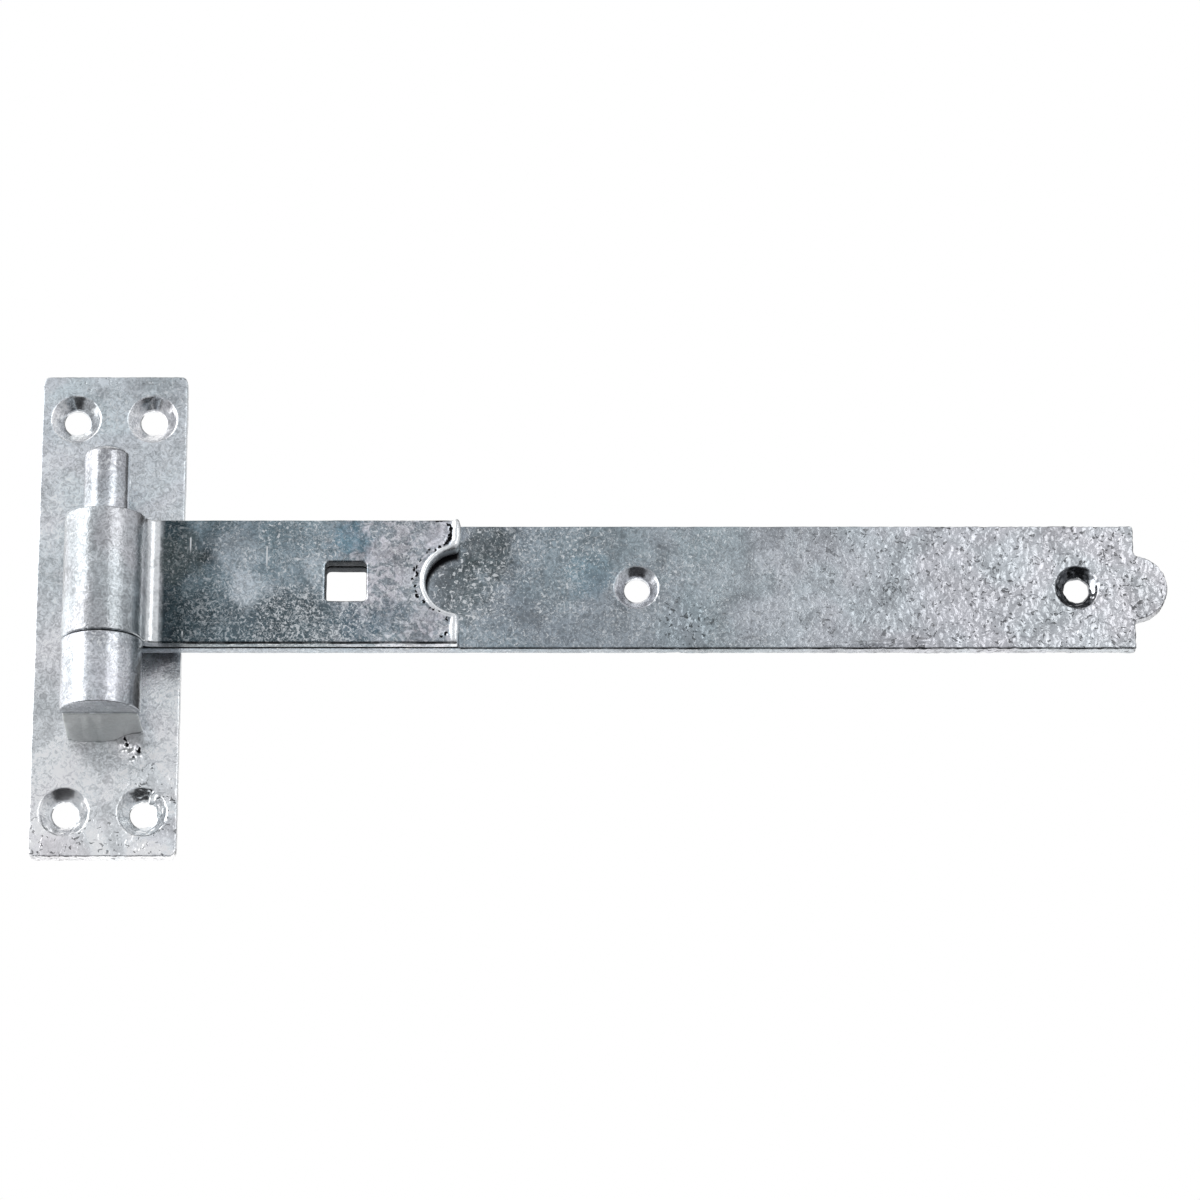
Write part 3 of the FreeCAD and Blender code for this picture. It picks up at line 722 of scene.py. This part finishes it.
def pale_specks(tree, place, inside, coarse):
    """Specks and hair-thin lines on the smooth zinc, and a fine dust that is fainter on the rough."""
    smooth_parts = stretch(tree, noise(tree, place, 12, 2), 0.36, 0.54)
    smooth_parts = weaken(tree, weaken(tree, smooth_parts, inside), coarse)
    wriggle = maths(tree, "SUBTRACT", noise(tree, place, 2.4, 2, 0.5, 1.2), 0.5)
    wriggle = maths(tree, "ABSOLUTE", wriggle)
    lines = times(tree, stretch(tree, wriggle, 0.035, 0.0), smooth_parts, 0.4)
    specks = times(tree, stretch(tree, noise(tree, place, 0.9, 1, 0.5, 0.4), 0.6, 0.68), smooth_parts, 0.7)
    dustiness = 0.4 if coarse is None else stretch(tree, coarse, 0, 1, 0.4, 0.15)
    dust = times(tree, stretch(tree, noise(tree, place, 0.5, 1), 0.62, 0.7), dustiness)
    return highest(tree, specks, lines, dust)


# %% The zinc material
PALE_ZINC_AND_HIGHLIGHT, SOOT_AND_PAINTED_SHADE, DULL_WELD = (0.93, 0.95, 0.96, 1), (0.012, 0.012, 0.014, 1), (0.84, 0.86, 0.83, 1)
METALLIC = 0.95


def zinc(name, shade, rough, relief, patches=(), zone=None, sinks=None, marks=None, spots=None, calm=None,
         weld_top=None):
    """Galvanised zinc. Each rule takes the tree and the place, and gives a colour or a mask.

    shade is the colour below, rough the least and the greatest roughness, relief the grain's depth outside
    and inside the rough zone, and patches are soft stains and painted shade. sinks are smooth countersinks,
    marks are pale places and a painted highlight, spots are black ash, painted shade and painted reflection,
    calm fades the specks, and everything below weld_top is weld.
    """
    material = bpy.data.materials.new(name)
    material.use_nodes = True
    tree = material.node_tree
    shader = tree.nodes["Principled BSDF"]
    shader.inputs["Metallic"].default_value = METALLIC
    place = add_node(tree, "ShaderNodeTexCoord").outputs["Object"]
    inside = sinks(tree, place) if sinks else None
    coarse = weaken(tree, zone(tree, place), inside) if zone else None
    clouds = noise(tree, place, 15, 5, 0.6, 0.8)
    grain = noise(tree, place, 1.5, 3, 0.6, 1.6)
    bump, pits = zinc_relief(tree, place, grain, relief, inside, coarse)
    tree.links.new(bump, shader.inputs["Normal"])

    colour = shade(tree, place)
    for centre, radius, strength, stain in patches:
        colour = mix_colours(tree, times(tree, patch(tree, place, centre, radius), strength), colour, stain)
    # Slow clouds mottle the zinc; the grain's low places get painted shade, and the pits are darkened, partly
    # as ash and partly as painted shade.
    tone = maths(tree, "SUBTRACT", stretch(tree, grain, 0.32, 0.68, 0.7, 1.3), 1.0)
    tone = maths(tree, "ADD", weaken(tree, tone, coarse, 0.65), 1.0)
    mottle_and_grain_shade = times(tree, stretch(tree, clouds, 0.3, 0.6, 0.7, 1.08), tone)
    colour = mix_colours(tree, 1.0, colour, weaken(tree, mottle_and_grain_shade, pits, 0.65), "MULTIPLY")
    tint = stretch(tree, noise(tree, place, 22, 2, 0.5, 1.0), 0.35, 0.65)
    tint = mix_colours(tree, tint, (0.97, 1, 1.02, 1), (1.015, 0.99, 1.015, 1))
    colour = mix_colours(tree, 1.0, colour, tint, "MULTIPLY")
    pale = pale_specks(tree, place, inside, coarse)
    if calm:
        pale = times(tree, pale, calm(tree, place))
    if marks:
        pale = highest(tree, pale, marks(tree, place))
    colour = mix_colours(tree, pale, colour, PALE_ZINC_AND_HIGHLIGHT)

    gloss = stretch(tree, clouds, 0.3, 0.7, rough[0], rough[1])
    if sinks:
        gloss = maths(tree, "SUBTRACT", gloss, times(tree, inside, 0.1))
    # Spots are black ash, and on the band also painted shade and a painted dark reflection.
    if spots:
        burnt = spots(tree, place)
        colour = mix_colours(tree, burnt, colour, SOOT_AND_PAINTED_SHADE)
        gloss = maths(tree, "ADD", gloss, times(tree, burnt, 0.5))
    if weld_top:
        dull = stretch(tree, axes(tree, place)[2], weld_top * MM, (weld_top - 0.4) * MM)
        colour = mix_colours(tree, times(tree, dull, 0.7), colour, DULL_WELD)
        gloss = maths(tree, "ADD", gloss, times(tree, dull, 0.2))
        tree.links.new(stretch(tree, dull, 0, 1, METALLIC, 0.4), shader.inputs["Metallic"])
    tree.links.new(colour, shader.inputs["Base Color"])
    tree.links.new(gloss, shader.inputs["Roughness"])
    return material


# %% [markdown]
# ## The band's finish
# The band is darkest and calmest beside the eye, blue-grey along the strap and palest at the tip; the dark
# leaf is partly painted shade and the pale tip partly a painted sheen. The notch has a smooth pale rim with
# black ash trapped around it. Painted shade darkens the seam between the layers, the strap under the notch's
# upper wall and the square hole's walls, a painted highlight lies along the hollow by the eye and in the
# first countersink, and a painted reflection darkens the lower front edges. Each of these is a mask, 1 where
# it applies and 0 elsewhere, made of distances with soft borders and broken up by noise. The smallest pits
# are too small to cut, so they are only painted.

# %% Ash, painted shade and painted reflection on the band
SMALL_PITS = [
    (X - 5.0, Z + 9.7, 0.5, 0.35, 0), (X - 7.9, Z + 9.0, 0.25, 0.55, 30), (X - 8.5, Z + 8.0, 0.25, 0.4, 10),
    (X - 10.2, Z + 5.9, 0.25, 0.6, 25), (X - 11.3, Z + 4, 0.35, 0.6, 0), (X - 11.5, Z - 3, 0.25, 0.6, -15),
    (X - 7.5, Z - 7.5, 0.4, 0.25, 0), (X - 6.6, Z - 8.1, 0.35, 0.25, 20), (X - 5.0, Z - 8.7, 0.5, 0.2, 12),
    (X - 3.0, Z - 10.6, 0.25, 0.9, 0), (X - 4.4, Z - 15.8, 0.5, 0.25, 0), (X - 5.5, Z + 17.3, 3.2, 0.3, 0),
    (X - 12.0, Z + 3.4, 0.3, 0.9, 0), (X - 12.3, Z + 0.6, 0.35, 0.5, 0),
]
BACK, SEAM_FRONT = STRAP_BACK / MM, LEAF_BACK / MM


def square_hole_painted_shade(tree, place):
    """Painted shade on the walls of the square hole."""
    x, y, z = axes(tree, place)
    aside = maths(tree, "ABSOLUTE", maths(tree, "SUBTRACT", x, SQUARE_X))
    above = maths(tree, "ABSOLUTE", maths(tree, "SUBTRACT", z, BAND_Z))
    walls = stretch(tree, highest(tree, aside, above), SQUARE / 2 + 0.5 * MM, SQUARE / 2 + 0.3 * MM)
    return times(tree, walls, between(tree, y, FACE + 0.2, FACE + 0.5, BACK - 0.5, BACK - 0.2), 0.8)


def seam_painted_shade(tree, place):
    """Painted shade in the seam between the leaf and the strap, and in a crescent on the strap under the
    notch's upper wall; it gives out in the rest of the notch.
    """
    x, y, _ = axes(tree, place)
    in_notch = (LEAF_END + 0.6 * MM, 0, BAND_Z - 1.3 * MM)
    outside = stretch(tree, vector(tree, "DISTANCE", flatten(tree, place), in_notch), 8.2 * MM, 9.8 * MM)
    seam = between(tree, y, SEAM_FRONT - 0.7, SEAM_FRONT - 0.4, STRAP + 0.1, STRAP + 0.4)
    return times(tree, seam, outside, between(tree, x, 8, 10, X - 0.6, X + 0.6))


def lower_edge_painted_reflection(tree, place):
    """A painted dark reflection along the lower front edges of the leaf and of the strap."""
    x, _, z = axes(tree, place)
    strap_edge = times(tree, in_front(tree, place, STRAP + 0.9), stretch(tree, x, LEAF_END, LEAF_END + MM))
    lowest = BAND_Z - STRAP_WIDTH / 2
    return times(tree, highest(tree, in_front(tree, place, FACE + 1.6), strap_edge),
                 stretch(tree, z, lowest + 0.45 * MM, lowest + 0.15 * MM),
                 stretch(tree, x, 20 * MM, 24 * MM),
                 stretch(tree, noise(tree, place, 7, 2), 0.3, 0.6, 0.35, 0.95))


def band_dark(tree, place):
    """Ash by the notch, painted shade on the square hole's walls, in the seam and under the notch's upper
    wall, and a painted dark reflection along the lower front edges.
    """
    burnt = ash(tree, place, GROOVE + LARGE_PITS + SMALL_PITS, SEAM_FRONT - 0.5)
    return highest(tree, burnt, square_hole_painted_shade(tree, place), seam_painted_shade(tree, place), lower_edge_painted_reflection(tree, place))


# %% Colour of the band
def band_sinks(tree, place):
    """The band's two countersinks."""
    holes = [(screw_x, BAND_Z) for screw_x in SCREW_X]
    return near_holes(tree, place, holes, BAND_SINK + 0.2 * MM, BACK - 0.3)


def band_shade(tree, place):
    """The zinc's tone along the band with painted light in it: painted shade darkens the leaf beside the eye,
    the leaf is darker on its lower half, it is pale by the notch and blue-grey along the strap, and a painted
    sheen makes it palest at the tip. The first countersink gets a painted highlight, the last one is dark
    except on its right side.
    """
    x, _, z = axes(tree, place)
    along = maths(tree, "ADD", x, wander(tree, place, 14, 3, 36 * MM))
    # The ramp is partly the zinc's own tone and partly painted light: painted shade on the leaf, a painted
    # sheen at the tip.
    bar = shades(tree, maths(tree, "DIVIDE", along, SHOULDER + PUNCH), [
        (0.0, (0.05, 0.07, 0.08, 1)), (1.0, (0.65, 0.66, 0.67, 1)), (0.075, (0.035, 0.055, 0.064, 1)),
        (0.12, (0.2, 0.26, 0.29, 1)), (0.2, (0.25, 0.32, 0.35, 1)), (0.28, (0.29, 0.32, 0.345, 1)),
        (0.33, (0.34, 0.38, 0.41, 1)), (0.38, (0.27, 0.32, 0.35, 1)), (0.55, (0.335, 0.38, 0.4, 1)),
        (0.78, (0.6, 0.62, 0.64, 1)),
    ])
    bar = mix_colours(tree, stretch(tree, x, 16.5 * MM, 14.5 * MM), bar, (0.49, 0.51, 0.52, 1))
    leaf = in_front(tree, place, SEAM_FRONT)
    hidden = maths(tree, "SUBTRACT", stretch(tree, x, LEAF_END, LEAF_END - 6 * MM), leaf)
    bar = mix_colours(tree, hidden, bar, (0.36, 0.4, 0.43, 1))
    low = times(tree, stretch(tree, z, 3 * MM, -4 * MM), between(tree, x, 18, 24, 60, 80), leaf, 0.52)
    bar = mix_colours(tree, low, bar, (0.03, 0.05, 0.06, 1))
    lumps = stretch(tree, noise(tree, place, 2.8, 3, 0.6, 1.0), 0.47, 0.57)
    lumps = times(tree, lumps, leaf, stretch(tree, x, 58 * MM, 72 * MM), 0.65)
    bar = mix_colours(tree, lumps, bar, (0.78, 0.77, 0.8, 1))
    sinks = band_sinks(tree, place)
    # A painted highlight makes the first countersink pale; the last one is painted dark except on its right
    # side.
    first = times(tree, sinks, stretch(tree, x, 200 * MM, 190 * MM), 0.8)
    bar = mix_colours(tree, first, bar, (0.85, 0.87, 0.88, 1))
    last = times(tree, sinks, between(tree, x, 251.7, 252.5, 267.5, 268.3), 0.85)
    return mix_colours(tree, last, bar, (0.06, 0.06, 0.065, 1))


# %% Pale marks and a painted highlight on the band
def notch_marks(tree, place, front):
    """The pale rim of the notch, and crystals on the strap inside it."""
    x, y, _ = axes(tree, place)
    far = vector(tree, "DISTANCE", flatten(tree, place), (LEAF_END, 0, BAND_Z))
    rim = highest(tree, stretch(tree, far, 10.6 * MM, 10.2 * MM),
                  stretch(tree, x, LEAF_END - 2.1 * MM, LEAF_END - 1.7 * MM))
    rim = times(tree, rim, stretch(tree, x, LEAF_END + 2 * MM, LEAF_END + MM), front, 0.9)
    crystals = times(tree, stretch(tree, noise(tree, place, 1.2, 1, 0.5, 0.6), 0.61, 0.66),
                     stretch(tree, far, 16 * MM, 10 * MM), stretch(tree, y, -16 * MM, -15 * MM), 0.75)
    return highest(tree, rim, crystals)


def leaf_flecks(tree, place):
    """Flecks on the leaf's lower half, fainter near the eye."""
    x, _, z = axes(tree, place)
    low = maths(tree, "ADD", z, wander(tree, place, 8, 2, 24 * MM))
    low = times(tree, stretch(tree, low, 6 * MM, 0), between(tree, x, 18, 24, 68, 80))
    return times(tree, stretch(tree, noise(tree, place, 1.5, 2, 0.5, 2.0), 0.54, 0.66), low,
                 stretch(tree, x, 24 * MM, 48 * MM, 0.3, 0.7))


def scratch(tree, place, line_x, bottom, top):
    """One upright scratch at line_x, in millimetres, which fades in from its lower end."""
    x, _, z = axes(tree, place)
    across = between(tree, x, line_x - 0.3, line_x - 0.1, line_x + 0.1, line_x + 0.3)
    return times(tree, across, between(tree, z, bottom, bottom + 3, top - 0.6, top), 0.8)


def band_marks(tree, place):
    """The notch's marks, and on the leaf a painted highlight along the hollow by the eye, the flecks and
    three scratches.
    """
    front = in_front(tree, place, -16)
    # The pale strip along the hollow by the eye is a painted highlight.
    hollow = times(tree, between(tree, axes(tree, place)[0], 11.2, 11.6, 14.6, 15.2),
                   stretch(tree, noise(tree, place, 1.4, 3), 0.35, 0.6, 0.55, 0.9))
    spots = ((44, 7, 14.5), (23.2, 11.5, 17), (21.5, -12.7, -9.8))
    scratches = [scratch(tree, place, *spot) for spot in spots]
    on_leaf = highest(tree, hollow, leaf_flecks(tree, place), *scratches)
    return highest(tree, notch_marks(tree, place, front), times(tree, on_leaf, front))


# %% Calm and rough zinc on the band
def band_calm(tree, place):
    """The pale specks are fainter on the dark metal beside the eye."""
    return stretch(tree, axes(tree, place)[0], 18 * MM, 48 * MM, 0.35, 1.0)


def band_zone(tree, place):
    """The rough zone grows along the strap to the tip, and has an island below the first screw hole."""
    along = maths(tree, "ADD", axes(tree, place)[0], wander(tree, place, 25, 2, 60 * MM))
    island = patch(tree, place, (158, STRAP, -6), 11)
    return highest(tree, stretch(tree, along, 110 * MM, 255 * MM), island)


# %% [markdown]
# ## The finishes of the plate and the hook
# The plate hung in the bath with its lower end down, so the last zinc ran off there and left that end
# roughest.
# It is paler towards that end, partly the zinc's tone and partly a painted sheen. Painted shade makes its
# back a darker grey, and its countersinks get a painted highlight. The collar, the pin and the weld share one
# finish, and the weld is duller, because zinc takes to weld metal in another way than to plain bar.


# %% Rules for the plate and the hook
def plate_sinks(tree, place):
    """The plate's four countersinks."""
    return near_holes(tree, place, PLATE_HOLES, PLATE_SINK + 0.2 * MM, -0.3)


def plate_ash(tree, place):
    """Ash in the craters beside the weld."""
    return ash(tree, place, ASH_PITS, -2.5)


def plate_shade(tree, place):
    """Paler towards the front's lower end, partly a painted sheen; painted shade greys the back, and the
    countersinks get a painted highlight.
    """
    _, depth, height = axes(tree, place)
    value = maths(tree, "DIVIDE", height, -PLATE_HEIGHT)
    value = maths(tree, "ADD", value, wander(tree, place, 20, 3, 0.9, 0.5, 0.5))
    value = maths(tree, "ADD", value, 0.5)
    bar = shades(tree, value, [(0.1, (0.6, 0.65, 0.67, 1)), (0.8, (0.99, 0.99, 0.99, 1))])
    # Painted shade: the back is a darker grey, to temper the white light behind.
    bar = mix_colours(tree, stretch(tree, depth, -0.7 * MM, -0.2 * MM), bar, (0.56, 0.6, 0.62, 1))
    # Painted highlight: the countersinks are pale.
    return mix_colours(tree, times(tree, plate_sinks(tree, place), 0.8), bar, (0.98, 0.98, 0.98, 1))


def plate_zone(tree, place):
    """Both ends of the plate are rough, the lower one more, and so is its lower right corner."""
    height = axes(tree, place)[2]
    corner = patch(tree, place, (14, PLATE, -52), 12)
    return highest(tree, stretch(tree, height, -50 * MM, -64 * MM), stretch(tree, height, 54 * MM, 80 * MM),
                   corner)


def hook_shade(tree, place):
    """An even mid grey with slow clouds."""
    clouds = noise(tree, place, 9, 3)
    return shades(tree, clouds, [(0.3, (0.49, 0.51, 0.53, 1)), (0.7, (0.59, 0.62, 0.64, 1))])


# %% Stains and the three finishes
FROST, LILAC, SHADE = (0.6, 0.67, 0.7, 1), (0.75, 0.74, 0.78, 1), (0.07, 0.09, 0.09, 1)
TEAL, BLUE, SNOW = (0.13, 0.27, 0.34, 1), (0.1, 0.16, 0.2, 1), (0.97, 0.97, 0.97, 1)
# The SHADE patches at x 20 and x 97 are painted shade, on the leaf beside the eye and on the strap inside the
# notch.
band_patches = [
    ((39.7, FACE, 1.7), 7, 0.65, FROST), ((36.5, FACE, 13), 9, 0.3, FROST), ((58, FACE, 7.5), 6, 0.4, FROST),
    ((66.5, FACE, 16), 7, 0.6, TEAL), ((90, FACE, 16), 6, 0.5, LILAC), ((75, FACE, 12), 4, 0.5, LILAC),
    ((81.7, FACE, 5.5), 3, 0.8, LILAC), ((87.5, FACE, -6.6), 4, 0.5, LILAC), ((20, FACE, 11), 9, 0.75, SHADE),
    ((69, FACE, -8), 9, 0.55, BLUE), ((77, FACE, -6), 6, 0.45, BLUE), ((104, STRAP, 14), 10, 0.7, SHADE),
    ((132, STRAP, 8), 8, 0.3, TEAL), ((97, STRAP, 4), 11, 0.6, SHADE),
]
plate_patches = [((-4, PLATE, -43), 10, 0.7, SNOW), ((16, PLATE, -60), 8, 0.4, FROST)]
zinc_band = zinc("galvanised_band", band_shade, (0.2, 0.3), (0.09, 0.6), band_patches, band_zone, band_sinks,
                 band_marks, band_dark, band_calm)
zinc_plate = zinc("galvanised_plate", plate_shade, (0.22, 0.32), (0.07, 0.42), plate_patches, plate_zone,
                  plate_sinks, spots=plate_ash)
zinc_hook = zinc("galvanised_hook", hook_shade, (0.2, 0.28), (0.04, 0.04), weld_top=-33.4)
finishes = {band: zinc_band, plate: zinc_plate, collar: zinc_hook, pin: zinc_hook, weld: zinc_hook}
for piece, finish in finishes.items():
    piece.data.materials.clear()
    piece.data.materials.append(finish)
    print(f"{piece.name} is finished in {finish.name}")

# %% [markdown]
# ## Studio
# The photograph is a cut-out on white, taken from the side of the band's lower edge, so the camera looks up
# at the hinge at that angle. Metal shows what is around it, so most of the light is a world that depends on
# the direction: white paper behind and on the left, grey in front, and black below the lens, which darkens
# the lower edges and the upper walls of the countersinks. A picture of a studio could do the same, but here
# each part of the room is one mask. Azimuth 0 is straight in front of the plate, and angles are in degrees.

# %% World
WHITE = (1, 1, 1, 1)
world = bpy.data.worlds.new("studio")
bpy.context.scene.world = world
world.use_nodes = True
tree = world.node_tree
tree.nodes.clear()
ray = add_node(tree, "ShaderNodeLightPath")
east, north, up = axes(tree, add_node(tree, "ShaderNodeTexCoord").outputs["Generated"])
azimuth = maths(tree, "DEGREES", maths(tree, "ARCTAN2", east, times(tree, north, -1)))
elevation = maths(tree, "DEGREES", maths(tree, "ARCSINE", up))
away = maths(tree, "ABSOLUTE", azimuth)
left, right = stretch(tree, azimuth, -34, -50), stretch(tree, azimuth, 50, 65)
dark_gap = times(tree, stretch(tree, azimuth, 105, 118), stretch(tree, azimuth, 165, 150))
behind, ceiling = stretch(tree, away, 120, 150), stretch(tree, elevation, 45, 75)
front_half = stretch(tree, away, 130, 100)
lower_front = times(tree, stretch(tree, elevation, -6, -24), front_half)
below = highest(tree, front_half, stretch(tree, elevation, -58, -68))
below = times(tree, below, stretch(tree, elevation, -40, -56))
room = mix_colours(tree, left, (0.68, 0.69, 0.71, 1), (1.8, 1.8, 1.82, 1))
for mask, light in ((right, (0.66, 0.67, 0.69, 1)), (ceiling, (0.5, 0.5, 0.5, 1)),
                    (lower_front, (0.42, 0.43, 0.45, 1)), (behind, WHITE),
                    (dark_gap, (0.1, 0.1, 0.1, 1)), (below, (0.02, 0.02, 0.022, 1))):
    room = mix_colours(tree, mask, room, light)
mirrored = highest(tree, ray.outputs["Is Glossy Ray"], ray.outputs["Is Transmission Ray"])
backdrop = times(tree, mirrored, stretch(tree, away, 150, 165))
shown = mix_colours(tree, highest(tree, ray.outputs["Is Camera Ray"], backdrop), room, WHITE)
background = add_node(tree, "ShaderNodeBackground", None, Color=shown, Strength=1.0)
output = add_node(tree, "ShaderNodeOutputWorld")
tree.links.new(background.outputs[0], output.inputs[0])
print(f"the world has {len(tree.nodes)} nodes")

# %% [markdown]
# ## Lamps, floor and camera
# A tall soft box on each side draws a bright band down the eye and the collar. Its power follows from its
# size and from how bright it should look in the metal. The floor takes the hinge's shadow, and only the
# camera, mirrors and glass see it glow, so it adds no light of its own.

# %% Lamps
MIDDLE_X, BOX_DISTANCE = 134.5 * MM, 1.6
TARGET = Vector((MIDDLE_X, -16 * MM, 0))


def soft_box(name, turn, climb, wide, high, radiance):
    """An area light on a sphere round the hinge, facing it; turn 0 is straight in front of the plate."""
    turn, climb = math.radians(turn), math.radians(climb)
    out = Vector((math.sin(turn) * math.cos(climb), -math.cos(turn) * math.cos(climb), math.sin(climb)))
    data = bpy.data.lights.new(name, "AREA")
    data.shape, data.size, data.size_y = "RECTANGLE", wide, high
    data.energy = radiance * math.pi * wide * high
    light = bpy.data.objects.new(name, data)
    light.location = TARGET + out * BOX_DISTANCE
    light.rotation_euler = (-out).to_track_quat("-Z", "Y").to_euler()
    bpy.context.scene.collection.objects.link(light)
    print(f"{name}: {wide} x {high} m, {data.energy:.2f} W")


soft_box("left_box", -64, 20, 0.7, 1.1, 1.2)
soft_box("right_box", 33, 14, 0.85, 1.2, 1.0)

# %% Floor
nothing_selected()
bpy.ops.mesh.primitive_plane_add(size=3, location=(MIDDLE_X, 1.75, -0.5))
floor = added("floor")
paper = bpy.data.materials.new("studio_floor")
paper.use_nodes = True
tree = paper.node_tree
shader = tree.nodes["Principled BSDF"]
shader.inputs["Base Color"].default_value = (0.65, 0.65, 0.65, 1)
shader.inputs["Roughness"].default_value = 0.9
shader.inputs["Emission Color"].default_value = WHITE
ray = add_node(tree, "ShaderNodeLightPath")
seen = highest(tree, *[ray.outputs[f"Is {kind} Ray"] for kind in ("Camera", "Transmission", "Glossy")])
tree.links.new(times(tree, seen, 0.6), shader.inputs["Emission Strength"])
floor.data.materials.append(paper)
report(floor)

# %% Camera
ELEVATION, DISTANCE = math.radians(-18), 1.413
lens = bpy.data.cameras.new("camera")
lens.lens, lens.sensor_width = 156, 36
camera = bpy.data.objects.new("camera", lens)
bpy.context.scene.collection.objects.link(camera)
camera.location = TARGET + DISTANCE * Vector((0, -math.cos(ELEVATION), math.sin(ELEVATION)))
camera.rotation_euler = (TARGET - camera.location).to_track_quat("-Z", "Y").to_euler()
bpy.context.scene.camera = camera
bpy.context.scene.view_settings.view_transform = "Standard"
print(f"camera {DISTANCE} m away with a {lens.lens:.0f} mm lens")
